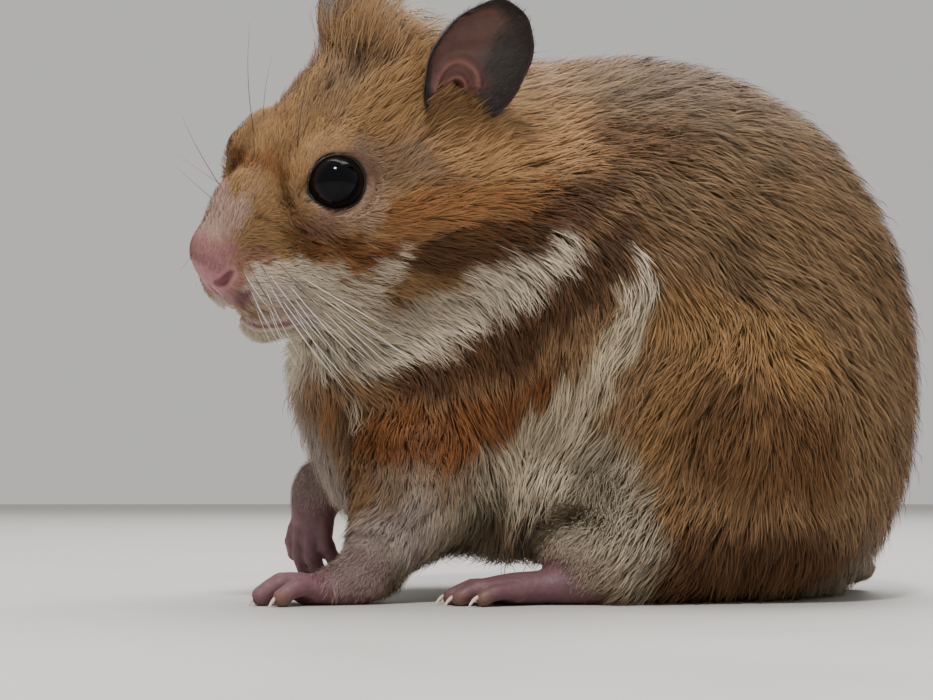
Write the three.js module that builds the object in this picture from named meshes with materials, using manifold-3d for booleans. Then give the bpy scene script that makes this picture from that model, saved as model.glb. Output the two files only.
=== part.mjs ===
// A Syrian hamster sitting hunched on a floor, at life size, as closed solids out to the tips of its coat.
// Millimetres, +Z up. The animal faces -X, and its left side is towards -Y, where it also turns its head.
// The origin is on the floor, under the middle of the animal.
import * as THREE from "three";
import { mergeVertices } from "three/addons/utils/BufferGeometryUtils.js";
import Module from "manifold-3d";

const wasm = await Module();
wasm.setup();

// ---- driving dimensions

const room = 400; // far larger than the animal
const cut = 0.36; // width of the thin cuts between neighbouring pieces
const footprint = [-0.76, 2.65, 0]; // moves the trunk's frame so that the part's origin is under its middle
const headPlace = [-31.8, -25.1, 50.1]; // midway between the eyes
const headTurn = { left: 41, down: 30.4, lean: 19.8 }; // degrees: its left ear is the lower one
const eye = { radius: 3.4, aside: 7.75 };
const ear = { length: 16.6, width: 12.6, depth: 3.6, wall: 0.8 };
const digit = { sides: 6, steps: 2, taper: 0.88 };
const claw = { length: 1.3, droop: 0.5, radius: 0.42, sides: 4, steps: 1 };

// ---- frames

const degrees = THREE.MathUtils.degToRad;
const body = new THREE.Matrix4().makeTranslation(...footprint); // the trunk's frame

// A frame at a place inside another frame, turned by angles in degrees about its own x, y and z.
function placed(frame, [x, y, z], turn = [0, 0, 0]) {
  const own = new THREE.Matrix4().makeRotationFromEuler(new THREE.Euler(...turn.map(degrees)));
  return frame.clone().multiply(own.setPosition(x, y, z));
}

// A frame whose x points forward and whose z is as near to up as it can be.
function facing(frame, place, forward, up) {
  const x = new THREE.Vector3(...forward).normalize();
  const y = new THREE.Vector3(...up).cross(x).normalize();
  const own = new THREE.Matrix4().makeBasis(x, y, x.clone().cross(y)).setPosition(...place);
  return frame.clone().multiply(own);
}

// The head's frame: x to the nose, y to its left ear and z to its crown, from midway between the eyes.
const head = placed(body, headPlace, [0, 0, 180 + headTurn.left])
  .multiply(new THREE.Matrix4().makeRotationX(-degrees(headTurn.lean)))
  .multiply(new THREE.Matrix4().makeRotationY(degrees(headTurn.down)));

// ---- the melted body

// A blob is an ellipsoid with the distance over which it melts into those before it.
function blob(frame, centre, halfSizes, melt, turn) {
  return { inverse: placed(frame, centre, turn).invert(), half: new THREE.Vector3(...halfSizes), melt };
}

// The same blob on both sides of a frame's middle plane.
function pair(frame, [x, y, z], halfSizes, melt, [rx, ry, rz] = [0, 0, 0]) {
  const here = blob(frame, [x, y, z], halfSizes, melt, [rx, ry, rz]);
  const across = blob(frame, [x, -y, z], halfSizes, melt, [-rx, ry, -rz]);
  return [here, across];
}

const trunkBlobs = [
  blob(body, [7.2, 0, 37.6], [35.9, 28.5, 31.3], 4), // back and rump
  blob(body, [24.5, 0, 23], [20.2, 27, 27.4], 8), // seat
  blob(body, [-8, -1, 38.5], [23, 20, 23.5], 10), // shoulders
  blob(body, [-17.4, -2, 26], [17.3, 16.5, 17], 8), // chest
  blob(body, [-4, 0, 13.4], [24, 21, 9], 8), // belly
  blob(body, [-24.8, -13, 29], [9.2, 10.5, 10], 6), // throat
  ...pair(body, [20, 18, 20], [18.5, 12.5, 20.5], 5, [0, -12, 0]), // thighs
];

const headBlobs = [
  blob(head, [-13.3, 0, -4.1], [12.5, 12.6, 12.8], 5), // braincase
  blob(head, [-13.7, 0, 7.3], [7, 8, 8], 5), // crown
  blob(head, [-6.1, 0, 0.7], [11, 7.9, 9.6], 4, [0, 10, 0]), // brow
  ...pair(head, [-0.6, 4.9, 0.1], [5.4, 2.5, 4.3], 2.5, [0, 10, 0]), // rims of the eyes
  blob(head, [5.4, 0, -3], [9, 5.5, 6.3], 4, [0, 25, 0]), // bridge of the nose
  blob(head, [12.5, 0, -6.2], [3.2, 3.2, 4.3], 2.5, [0, 20, 0]), // nose
  ...pair(head, [9.6, 3.2, -10], [5, 3.6, 4.4], 2.5, [0, 30, 0]), // whisker pads
  blob(head, [8.2, 0, -14.5], [4.8, 3.6, 3.8], 2.5, [0, 35, 0]), // chin
  ...pair(head, [-4, 8, -8.5], [9.5, 7.5, 8.8], 5, [0, 20, 0]), // cheeks
  ...pair(head, [1.5, 5.5, -12.5], [8, 5, 6], 4, [0, 30, 0]), // jowls
  ...pair(head, [-14, 9.5, -11], [11, 8, 9.5], 6, [0, 20, 0]), // pouches
  blob(head, [-21, 0, -6.7], [12, 12.6, 11.8], 8), // nape
];

const armBlobs = pair(body, [-16, 14, 25], [11, 8.5, 12], 6, [0, 10, 0]); // upper arms
const limbBlobs = [
  blob(body, [-18.5, -19.5, 11.5], [6.8, 5.4, 10], 4, [0, 30, 0]), // left forearm
  blob(body, [-22.6, -22.8, 4.6], [6.2, 3.8, 3.7], 3, [0, -30, 0]), // left wrist
  blob(body, [-27.5, 7.5, 19], [4.6, 4.4, 8], 4, [0, 8, 0]), // right forearm
  blob(body, [-30.5, 8, 13], [2.9, 2.9, 4.4], 2.5, [0, 20, 0]), // right wrist
  blob(body, [5.5, -23.5, 5], [8.5, 5.2, 5.2], 4), // left shin
  blob(body, [17, 23, 5], [8.5, 5.2, 5.2], 4), // right shin
];

// The distance to the surface of all blobs melted together, less than 0 inside.
function fieldOf(blobs) {
  const spot = new THREE.Vector3();
  const scaled = new THREE.Vector3();
  const steep = new THREE.Vector3();
  return (point) => {
    let nearest = room;
    for (const { inverse, half, melt } of blobs) {
      scaled.copy(spot.copy(point).applyMatrix4(inverse)).divide(half);
      const reach = scaled.length();
      const distance = (reach * (reach - 1)) / Math.max(steep.copy(scaled).divide(half).length(), 1e-9);
      const blend = Math.max(melt - Math.abs(nearest - distance), 0) / melt;
      nearest = Math.min(nearest, distance) - (blend * blend * melt) / 4;
    }
    return nearest;
  };
}

const limbless = fieldOf([...trunkBlobs, ...headBlobs, ...armBlobs]);
const animal = fieldOf([...trunkBlobs, ...headBlobs, ...armBlobs, ...limbBlobs]);

// ---- solids

// A closed geometry as a solid for cutting and joining.
function solid(geometry, frame = new THREE.Matrix4()) {
  const bare = geometry.clone().applyMatrix4(frame);
  bare.deleteAttribute("normal");
  bare.deleteAttribute("uv");
  const merged = mergeVertices(bare, 1e-4);
  const vertProperties = new Float32Array(merged.attributes.position.array);
  const triVerts = new Uint32Array(merged.index.array);
  return new wasm.Manifold(new wasm.Mesh({ numProp: 3, vertProperties, triVerts }));
}

// A sphere about a frame's origin, each of its points moved along its ray to where that leaves the field.
// The poles are on the frame's x axis, and stretch crowds the rays towards them.
function wrapped(field, frame, [columns, rows], stretch = 1, grow = 0) {
  const sphere = new THREE.SphereGeometry(1, columns, rows).rotateZ(-Math.PI / 2).scale(stretch, 1, 1);
  const at = sphere.attributes.position;
  const centre = new THREE.Vector3().setFromMatrixPosition(frame);
  const ray = new THREE.Vector3();
  const point = new THREE.Vector3();
  const depth = (reach) => field(point.copy(centre).addScaledVector(ray, reach)) - grow;
  const stride = 1.2;
  for (let i = 0; i < at.count; i++) {
    ray.fromBufferAttribute(at, i).transformDirection(frame);
    let outside = stride;
    while (depth(outside) < 0) outside += stride;
    let inside = outside - stride;
    for (let halving = 0; halving < 12; halving++) {
      const middle = (inside + outside) / 2;
      if (depth(middle) < 0) inside = middle;
      else outside = middle;
    }
    at.setXYZ(i, ...point.copy(centre).addScaledVector(ray, inside));
  }
  return solid(sphere);
}

function ellipsoid(frame, halfSizes, columns = 24, rows = 16) {
  return solid(new THREE.SphereGeometry(1, columns, rows).rotateX(Math.PI / 2).scale(...halfSizes), frame);
}

// Everything beyond a plane, on the side of its normal.
function beyond(point, normal) {
  const out = new THREE.Vector3(...normal).normalize();
  const turn = new THREE.Quaternion().setFromUnitVectors(new THREE.Vector3(0, 0, 1), out);
  const place = new THREE.Vector3(...point).addScaledVector(out, room / 2);
  const frame = new THREE.Matrix4().makeRotationFromQuaternion(turn).setPosition(place);
  return solid(new THREE.BoxGeometry(room, room, room), frame);
}

// The two sides of a plane in a frame, apart by the thin cut: the side its normal points to, and the other.
function parted(frame, point, normal) {
  const [place, way] = [spotIn(frame, point), wayIn(frame, normal)];
  const shifted = (by) => place.map((p, i) => p + way[i] * by);
  return [beyond(shifted(cut / 2), way), beyond(shifted(-cut / 2), way.map((w) => -w))];
}

// A round tube along a curve, with closed ends and a radius that changes on the way.
function tapered(curve, radiusAt, { sides, steps }, frame) {
  const { normals, binormals } = curve.computeFrenetFrames(steps, false);
  const places = [];
  const faces = [];
  const start = (steps + 1) * sides;
  for (let i = 0; i <= steps; i++)
    for (let j = 0; j < sides; j++) {
      const angle = (2 * Math.PI * j) / sides;
      const rim = curve.getPointAt(i / steps);
      rim.addScaledVector(normals[i], Math.cos(angle) * radiusAt(i / steps));
      rim.addScaledVector(binormals[i], Math.sin(angle) * radiusAt(i / steps));
      places.push(...rim);
    }
  places.push(...curve.getPointAt(0), ...curve.getPointAt(1));
  for (let j = 0; j < sides; j++) {
    const next = (j + 1) % sides;
    for (let i = 0; i < start - sides; i += sides)
      faces.push(i + j, i + next, i + sides + next, i + j, i + sides + next, i + sides + j);
    faces.push(start, next, j, start + 1, start - sides + j, start - sides + next);
  }
  const geometry = new THREE.BufferGeometry();
  geometry.setAttribute("position", new THREE.BufferAttribute(new Float32Array(places), 3));
  return solid(geometry.setIndex(faces), frame);
}

const joined = (pieces) => pieces.reduce((all, piece) => all.add(piece));
const without = (whole, cutters) => cutters.reduce((rest, cutter) => rest.subtract(cutter), whole);
const spotIn = (frame, place) => new THREE.Vector3(...place).applyMatrix4(frame).toArray();
const wayIn = (frame, way) => new THREE.Vector3(...way).transformDirection(frame).toArray();

// ---- cuts

const aboveFloor = beyond([0, 0, 0], [0, 0, 1]);
const [foreOfNape, behindNape] = parted(head, [-18, 0, 0], [1, 0, 0.1]);
const [neckSide, trunkSide] = parted(body, [-14, -8, 44], [-0.6, -0.35, 0.72]);
const jawLine = (gap) => ellipsoid(placed(head, [-3, 0, 10]), [40 + gap, 36 + gap, 30 + gap], 22, 16);
const headPart = foreOfNape.intersect(jawLine(0));
const bodyPart = behindNape.add(aboveFloor.subtract(jawLine(cut)));

// Each limb is the stretch of the animal inside an egg. Its surface is found from a core inside it, whose x
// points to the foot.
const up = [0, 0, 1];
const limbs = {
  foreleg_left: {
    egg: [placed(body, [-18.5, -22, 12.5], [0, 22, 0]), [12, 10, 18]],
    core: facing(body, [-15.5, -15.5, 17], [-0.5, -0.5, -0.8], up),
  },
  foreleg_right: {
    egg: [placed(body, [-27, 11, 15], [0, 8, 0]), [9, 10, 16]],
    core: facing(body, [-24, 8.5, 22], [-0.55, 0, -0.9], up),
  },
  hindleg_left: {
    egg: [placed(body, [16, -22.5, 16.5], [0, -10, 0]), [24, 16, 25]],
    core: facing(body, [15, -9, 19], [-0.3, -1, -0.35], up),
  },
  hindleg_right: {
    egg: [placed(body, [20, 22.5, 16.5], [0, -10, 0]), [22, 16, 25]],
    core: facing(body, [18, 9, 19], [-0.1, 1, -0.35], up),
  },
};
const limbWrap = (limb, grow) => wrapped(animal, limb.core, [18, 13], 1.3, grow);

function limbCut({ egg: [frame, half] }, gap) {
  return ellipsoid(frame, half.map((h) => h + gap), 16, 9);
}

// ---- pieces

const coat = {
  gold: new THREE.MeshStandardMaterial({ color: 0x9a6a3c, roughness: 0.85 }),
  cream: new THREE.MeshStandardMaterial({ color: 0xb9ab98, roughness: 0.85 }),
  pink: new THREE.MeshStandardMaterial({ color: 0xb98a8c, roughness: 0.6 }),
  slate: new THREE.MeshStandardMaterial({ color: 0x3c3433, roughness: 0.7 }),
  jet: new THREE.MeshStandardMaterial({ color: 0x08080b, roughness: 0.08 }),
};

const hamster = new THREE.Group();
hamster.name = "syrian_hamster";

// Adds the largest piece of a solid under a name, without the slivers that cuts can leave.
function add(name, manifold, material) {
  const [whole] = manifold.decompose().sort((one, other) => other.volume() - one.volume());
  const { vertProperties, triVerts } = whole.getMesh();
  const geometry = new THREE.BufferGeometry();
  geometry.setAttribute("position", new THREE.BufferAttribute(new Float32Array(vertProperties), 3));
  geometry.setIndex(new THREE.BufferAttribute(new Uint32Array(triVerts), 1));
  geometry.computeVertexNormals();
  const mesh = new THREE.Mesh(geometry, material.clone());
  mesh.name = name;
  hamster.add(mesh);
}

const trunkFrame = placed(body, [8, 0, 30]);
const headFrame = placed(head, [-3, 0, -4.5], [0, 18, 0]);
const core = wrapped(limbless, trunkFrame, [30, 20]).intersect(aboveFloor).intersect(bodyPart);
const coreLessLimbs = without(core, Object.values(limbs).map((limb) => limbCut(limb, cut)));
add("trunk", coreLessLimbs.intersect(trunkSide), coat.gold);
add("neck", coreLessLimbs.intersect(neckSide), coat.gold);

const taken = []; // the eggs of the limbs before
for (const [name, limb] of Object.entries(limbs)) {
  const own = without(limbWrap(limb, 0).intersect(limbCut(limb, 0)), taken);
  taken.push(limbCut(limb, cut));
  add(name, own.intersect(aboveFloor).intersect(bodyPart), name.startsWith("fore") ? coat.cream : coat.gold);
}

const sides = { left: 1, right: -1 };
const eyeFrame = (side) => placed(head, [-0.1, side * eye.aside, 0]);
const eyeball = (side, gap) => ellipsoid(eyeFrame(side), Array(3).fill(eye.radius + gap), 12, 8);
const sockets = Object.values(sides).map((side) => eyeball(side, cut));
const nostrilFrame = (side) => placed(head, [15, side * 1.5, -7.6]);
const nostrils = Object.values(sides).map((side) => ellipsoid(nostrilFrame(side), [1, 0.4, 0.7], 8, 6));
const headWhole = wrapped(animal, headFrame, [26, 25], 1.25).intersect(headPart);
add("head", without(headWhole, [...sockets, ...nostrils]), coat.gold);
for (const [name, side] of Object.entries(sides)) add(`eye_${name}`, eyeball(side, 0), coat.jet);

// An ear is a thin cup, open to the front and outwards, rooted in the crown's coat.
const ears = {
  ear_left: facing(head, [-14.9, 10.5, 0.6], [-0.44, 0.33, 0.82], [0.36, 0.88, -0.3]),
  ear_right: facing(head, [-14.9, -10.5, 0.6], [-0.44, -0.33, 0.82], [0.55, -0.8, -0.25]),
};
const headGrown = wrapped(animal, headFrame, [24, 20], 1.25, cut);
for (const [name, frame] of Object.entries(ears)) {
  const middle = placed(frame, [ear.length / 2, 0, 0]);
  const half = [ear.length / 2, ear.width / 2, ear.depth];
  const shell = ellipsoid(middle, half, 16, 8);
  const hollow = ellipsoid(placed(middle, [0, 0, ear.wall * 0.4]), half.map((h) => h - ear.wall), 16, 8);
  const open = beyond(spotIn(middle, [0, 0, 0]), wayIn(middle, [0, 0, 1]));
  add(name, without(shell, [hollow, open, headGrown]), coat.slate);
}

// A foot is a pad with digits, each a bowed taper from root to tip that ends in a claw pointing down and on.
function foot(frame, pads, digits) {
  const pieces = pads.map(({ centre, half }) => ellipsoid(placed(frame, centre), half, 10, 6));
  for (const { root, tip, radius, bow } of digits) {
    const [from, to] = [new THREE.Vector3(...root), new THREE.Vector3(...tip)];
    const knee = from.clone().lerp(to, 0.55).add(new THREE.Vector3(0, 0, bow));
    const bone = new THREE.QuadraticBezierCurve3(from, knee, to);
    const ahead = bone.getTangent(1);
    const end = to.clone().addScaledVector(ahead, claw.length).add(new THREE.Vector3(0, 0, -claw.droop));
    const start = to.clone().addScaledVector(ahead, -radius);
    const middle = to.clone().addScaledVector(ahead, claw.length / 2);
    const nail = new THREE.QuadraticBezierCurve3(start, middle, end);
    const rounded = (t) => radius * (t < 1 ? 1 - (1 - digit.taper) * t : digit.taper * 0.6);
    pieces.push(tapered(bone, rounded, digit, frame));
    pieces.push(tapered(nail, (t) => claw.radius * (1 - 0.8 * t), claw, frame));
  }
  return joined(pieces);
}

const forePads = [{ centre: [0, 0, 1.6], half: [4.6, 3.5, 2.2] }];
const foreDigits = [
  { root: [1.0, 2.3, 1.5], tip: [5.4, 4.1, 1.1], radius: 1.25, bow: 1.6 },
  { root: [1.6, 0.9, 1.6], tip: [7.4, 1.5, 1.1], radius: 1.35, bow: 2.2 },
  { root: [1.6, -0.8, 1.6], tip: [7.2, -1.5, 1.1], radius: 1.35, bow: 2.2 },
  { root: [1.0, -2.2, 1.5], tip: [5.0, -4.3, 1.1], radius: 1.25, bow: 1.6 },
];
const hindPads = [
  { centre: [-4, 0, 2.0], half: [8, 2.7, 2.2] },
  { centre: [3.2, 0, 1.8], half: [4, 3.1, 1.9] },
];
const hindDigits = [
  { root: [3.0, 2.3, 1.3], tip: [7.0, 4.0, 0.9], radius: 1.05, bow: 1.0 },
  { root: [3.8, 1.3, 1.5], tip: [9.4, 2.1, 0.9], radius: 1.2, bow: 1.5 },
  { root: [4.0, 0, 1.5], tip: [10.2, 0, 0.9], radius: 1.2, bow: 1.6 },
  { root: [3.8, -1.3, 1.5], tip: [9.4, -2.1, 0.9], radius: 1.2, bow: 1.5 },
  { root: [3.0, -2.3, 1.3], tip: [6.6, -4.0, 0.9], radius: 1.05, bow: 1.0 },
];
const hangDigits = foreDigits.map((one) => {
  const [x, y, z] = one.tip;
  return { ...one, tip: [x, y * 0.85, z - 0.9] };
});

const feet = {
  forefoot_left: {
    frame: facing(body, [-28.2, -24.5, 0], [-1, -0.2, 0], up),
    pads: forePads,
    digits: foreDigits,
  },
  forefoot_right: {
    frame: facing(body, [-31.6, 9.5, 9.4], [-0.12, -0.05, -1], [-0.6, -0.8, 0.1]),
    pads: forePads,
    digits: hangDigits,
  },
  hindfoot_left: {
    frame: facing(body, [-3.8, -25, 0], [-1, -0.1, 0], up),
    pads: hindPads,
    digits: hindDigits,
  },
  hindfoot_right: {
    frame: facing(body, [11.5, 24, 0], [-1, 0.1, 0], up),
    pads: hindPads,
    digits: hindDigits,
  },
};
const coreGrown = wrapped(limbless, trunkFrame, [30, 20], 1, cut);
for (const [name, { frame, pads, digits }] of Object.entries(feet)) {
  const limb = limbs[name.replace("foot", "leg")];
  const shape = without(foot(frame, pads, digits), [limbWrap(limb, cut), coreGrown]);
  add(name, shape.intersect(aboveFloor), coat.pink);
}

const tailCurve = new THREE.QuadraticBezierCurve3(
  new THREE.Vector3(32, 0, 6),
  new THREE.Vector3(39.5, 3, 3.4),
  new THREE.Vector3(38.8, 9.5, 1.6),
);
const tail = tapered(tailCurve, (t) => 1.7 - 0.9 * t, { sides: 8, steps: 6 }, body);
add("tail", tail.subtract(coreGrown).intersect(aboveFloor), coat.pink);

export default hamster;
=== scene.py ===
# A Syrian hamster sitting on the floor: one skin, a coat of solid strands, eyes, ears, claws and whiskers.
# Shapes are worked out in millimetres in the trunk's axes and go to the mesh in metres.
import math

import bpy
import numpy as np
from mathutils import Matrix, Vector


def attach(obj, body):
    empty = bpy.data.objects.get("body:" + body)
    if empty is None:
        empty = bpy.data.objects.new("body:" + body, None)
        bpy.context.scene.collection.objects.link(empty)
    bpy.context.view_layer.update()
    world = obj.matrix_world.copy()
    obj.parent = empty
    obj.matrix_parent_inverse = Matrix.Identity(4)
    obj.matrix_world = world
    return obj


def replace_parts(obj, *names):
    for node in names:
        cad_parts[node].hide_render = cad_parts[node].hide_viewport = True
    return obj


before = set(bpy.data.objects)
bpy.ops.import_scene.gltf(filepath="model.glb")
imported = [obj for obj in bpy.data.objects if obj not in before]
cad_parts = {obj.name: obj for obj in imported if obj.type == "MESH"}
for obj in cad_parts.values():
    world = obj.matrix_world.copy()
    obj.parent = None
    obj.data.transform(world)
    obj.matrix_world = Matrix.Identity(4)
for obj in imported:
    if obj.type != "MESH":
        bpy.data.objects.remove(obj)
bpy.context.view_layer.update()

millimetre = 0.001
seed = 20
rng = np.random.default_rng(seed)
print("frame loaded")

# ---- axes: a rotation whose columns are x, y and z, and an origin


def turnBy(degreesXyz):
    # the turn about z comes first, then the one about y, then the one about x
    (cx, cy, cz), (sx, sy, sz) = np.cos(np.radians(degreesXyz)), np.sin(np.radians(degreesXyz))
    aboutX = np.array([[1, 0, 0], [0, cx, -sx], [0, sx, cx]])
    aboutY = np.array([[cy, 0, sy], [0, 1, 0], [-sy, 0, cy]])
    aboutZ = np.array([[cz, -sz, 0], [sz, cz, 0], [0, 0, 1]])
    return aboutX @ aboutY @ aboutZ


def placed(axes, place, turn=(0, 0, 0)):
    # axes at a place and turn in other axes: the rotations multiplied, and the place turned and added
    rotation, origin = axes
    return rotation @ turnBy(turn), origin + rotation @ np.array(place, float)


def unit(vectors):
    # each vector over its own length
    return vectors / np.maximum(np.linalg.norm(vectors, axis=-1, keepdims=True), 1e-9)


def facing(axes, place, forward, up):
    # x points forward, z is as near to up as it can be
    x = unit(np.array(forward, float))
    y = unit(np.cross(np.array(up, float), x))
    rotation, origin = axes
    return rotation @ np.stack([x, y, np.cross(x, y)], 1), origin + rotation @ np.array(place, float)


def intoAxes(axes, points):
    # the origin taken off, then the rotation undone
    return (points - axes[1]) @ axes[0]


def folded(axes, points):
    # into the axes, with the right half laid onto the left
    local = intoAxes(axes, points)
    local[:, 1] = np.abs(local[:, 1])
    return local


def outOfAxes(axes, points):
    # rotated, then the origin added
    return points @ axes[0].T + axes[1]


def within(points, centre, radius):
    # whether each point is nearer to the centre than the radius
    return np.linalg.norm(points - centre, axis=1) < radius


plainAxes = (np.eye(3), np.zeros(3))
trunk = (np.eye(3), np.array([-0.76, 2.65, 0.0]))
headPose = dict(place=(-31.8, -25.1, 50.1), left=41, down=30.4, lean=19.8)  # between the eyes, and degrees
headRotation = (turnBy((0, 0, 180 + headPose["left"])) @ turnBy((-headPose["lean"], 0, 0))
                @ turnBy((0, headPose["down"], 0)))
head = (headRotation, trunk[1] + np.array(headPose["place"]))

# ---- the flesh and coat together: ellipsoids melted into each other, in order
# axes, centre, half sizes, melting distance, turn in degrees; "both" puts one on each side

fleshBlobs = [
    (trunk, (7.2, 0, 37.6), (35.9, 28.5, 31.3), 4),  # back and rump
    (trunk, (24.5, 0, 23), (20.2, 27, 27.4), 8),  # seat
    (trunk, (-8, -1, 38.5), (23, 20, 23.5), 10),  # shoulders
    (trunk, (-17.4, -2, 26), (17.3, 16.5, 17), 8),  # chest
    (trunk, (-4, 0, 13.4), (24, 21, 9), 8),  # belly
    (trunk, (-24.8, -13, 29), (9.2, 10.5, 10), 6),  # throat
    (trunk, (20, 18, 20), (18.5, 12.5, 20.5), 5, (0, -12, 0), "both"),  # thighs
    (head, (-13.3, 0, -4.1), (12.5, 12.6, 12.8), 5),  # braincase
    (head, (-13.7, 0, 7.3), (7, 8, 8), 5),  # crown
    (head, (-6.1, 0, 0.7), (11, 7.9, 9.6), 4, (0, 10, 0)),  # brow
    (head, (-0.6, 4.9, 0.1), (5.4, 2.5, 4.3), 2.5, (0, 10, 0), "both"),  # rims of the eyes
    (head, (5.4, 0, -3), (9, 5.5, 6.3), 4, (0, 25, 0)),  # bridge of the nose
    (head, (12.5, 0, -6.2), (3.2, 3.2, 4.3), 2.5, (0, 20, 0)),  # nose
    (head, (9.6, 3.2, -10), (5, 3.6, 4.4), 2.5, (0, 30, 0), "both"),  # whisker pads
    (head, (8.2, 0, -14.5), (4.8, 3.6, 3.8), 2.5, (0, 35, 0)),  # chin
    (head, (-4, 8, -8.5), (9.5, 7.5, 8.8), 5, (0, 20, 0), "both"),  # cheeks
    (head, (1.5, 5.5, -12.5), (8, 5, 6), 4, (0, 30, 0), "both"),  # jowls
    (head, (-14, 9.5, -11), (11, 8, 9.5), 6, (0, 20, 0), "both"),  # pouches
    (head, (-21, 0, -6.7), (12, 12.6, 11.8), 8),  # nape
    (trunk, (-16, 14, 25), (11, 8.5, 12), 8, (0, 10, 0), "both"),  # upper arms
    (trunk, (-18.5, -19.5, 11.5), (6.8, 5.4, 10), 8, (0, 30, 0)),  # left forearm
    (trunk, (-22.6, -22.8, 4.6), (6.2, 3.8, 3.7), 3, (0, -30, 0)),  # left wrist
    (trunk, (-27.5, 7.5, 19), (4.6, 4.4, 8), 4, (0, 8, 0)),  # right forearm
    (trunk, (-30.5, 8, 13), (2.9, 2.9, 4.4), 2.5, (0, 20, 0)),  # right wrist
    (trunk, (5.5, -23.5, 5), (8.5, 5.2, 5.2), 11),  # left shin
    (trunk, (17, 23, 5), (8.5, 5.2, 5.2), 11),  # right shin
]
farAway = 400


def bothSides(rows):
    # a row marked "both" is followed by its mirror image across the axes' middle plane
    for axes, centre, half, melt, *rest in rows:
        turn = rest[0] if rest else (0, 0, 0)
        yield axes, centre, half, melt, turn
        if len(rest) == 2:
            yield axes, (centre[0], -centre[1], centre[2]), half, melt, (-turn[0], turn[1], -turn[2])


def meltInto(near, distance, melt):
    # the smaller of two distances, lowered by a quarter of the melting distance where they are equal
    blend = np.maximum(melt - np.abs(near - distance), 0) / melt
    return np.minimum(near, distance) - blend * blend * melt / 4


def blobField(points, rows):
    # an ellipsoid's distance is reach (reach - 1) / |point / half squared|, reach being |point / half|
    near = np.full(len(points), farAway, points.dtype)
    for axes, centre, half, melt, turn in bothSides(rows):
        rotation, origin = (part.astype(points.dtype) for part in placed(axes, centre, turn))
        half = np.array(half, points.dtype)
        scaled = (points - origin) @ rotation / half
        reach = np.sqrt((scaled * scaled).sum(1))
        steep = np.sqrt(((scaled / half) ** 2).sum(1))
        near = meltInto(near, reach * (reach - 1) / np.maximum(steep, 1e-6), melt)
    return near


# ---- how deep the coat is: full on the trunk, less towards each of these places
# axes, centre, radius of reach, depth there

coatDepth = dict(trunk=2.6)
shortCoat = [
    (head, (-5, 0, -3), 24, 1.5),
    (head, (-13, 0, 13), 11, 2.3),
    (head, (4, 0, 2), 13, 0.75),
    (head, (9, 0, -6), 13, 0.6),
    (head, (-0.5, 8, 0), 7.5, 0.4, "both"),
    (head, (-11, 10.5, 4), 5.5, 2.0, "both"),
    (head, (15, 0, -6.5), 6.5, 0.08),
    (head, (9, 0, -16), 7, 0.5),
    (trunk, (-19, -21, 12), 11, 1.3),
    (trunk, (-25, -24, 4), 7.5, 0.4),
    (trunk, (-27.5, 7.5, 19), 10, 1.2),
    (trunk, (-30.8, 8.5, 12), 8.5, 0.3),
    (trunk, (-1, -25, 2.5), 8.5, 0.3),
    (trunk, (12.5, 24, 2.5), 8.5, 0.3),
    (trunk, (38.5, 5, 3), 7, 0.3),
]
lowered = [  # where the skin lies further in than that, and by how much
    (head, (1.5, 0, 6.5), 8, 1.2),
    (head, (4, 5, 3), 6, 0.6, "both"),
    (trunk, (-31, 7.8, 13.5), 7, 0.5),
]
longCoat = [  # where the coat is longer than its depth asks for, and how many times
    (head, (-12, 0, 14), 9, 1.25),
    (head, (-12, 11, 4), 5, 1.4, "both"),
    (trunk, (-6, 18, 7), 9, 1.5, "both"),
]


def smooth(x):
    # from 0 to 1, level at both ends
    x = np.clip(x, 0, 1)
    return x * x * (3 - 2 * x)


def pulled(points, start, rows):
    # each place pulls a value to its own, fully within half its radius and not at all beyond it
    found = np.full(len(points), start, points.dtype)
    for axes, centre, radius, value, *both in rows:
        for side in (1, -1) if both else (1,):
            origin = placed(axes, (centre[0], centre[1] * side, centre[2]))[1].astype(points.dtype)
            pull = smooth(2 - 2 * np.linalg.norm(points - origin, axis=1) / radius)
            found += (value - found) * pull
    return found


def depthAt(points):
    # the coat's full depth, pulled to each shorter one in turn
    return pulled(points, coatDepth["trunk"], shortCoat)


# ---- feet: pads and bowed digits, in the foot's own axes

footShape = dict(
    knuckles=(1.0, 1.02, 0.9, 1.0, 0.86, 0.93),  # a digit's radius at its six steps, in shares of its own
    padMelt=1.2, digitMelt=0.5,
)
upwards = (0, 0, 1)
forePads = [((0, 0, 1.6), (4.4, 3.3, 2.0)), ((-3, 0, 2.2), (4.4, 3.0, 2.3))]
foreDigits = [  # root, tip, radius, bow
    ((1.0, 2.3, 1.6), (5.4, 4.1, 1.0), 1.12, 1.7),
    ((1.6, 0.9, 1.8), (7.4, 1.5, 1.0), 1.2, 2.3),
    ((1.6, -0.8, 1.8), (7.2, -1.5, 1.0), 1.2, 2.3),
    ((1.0, -2.2, 1.6), (5.0, -4.3, 1.0), 1.12, 1.7),
]
hangingDigits = [  # closer together, and their tips lower
    (root, (x, y * 0.85, z - 0.9), radius, bow) for root, (x, y, z), radius, bow in foreDigits
]
hindPads = [((-4, 0, 2.0), (8, 2.6, 2.1)), ((3.2, 0, 1.7), (4, 3.0, 1.8))]
hindDigits = [
    ((3.0, 2.3, 1.3), (7.0, 4.0, 0.9), 0.95, 1.0),
    ((3.8, 1.3, 1.5), (9.4, 2.1, 0.9), 1.08, 1.5),
    ((4.0, 0.0, 1.5), (10.2, 0.0, 0.9), 1.08, 1.6),
    ((3.8, -1.3, 1.5), (9.4, -2.1, 0.9), 1.08, 1.5),
    ((3.0, -2.3, 1.3), (6.6, -4.0, 0.9), 0.95, 1.0),
]
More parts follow.
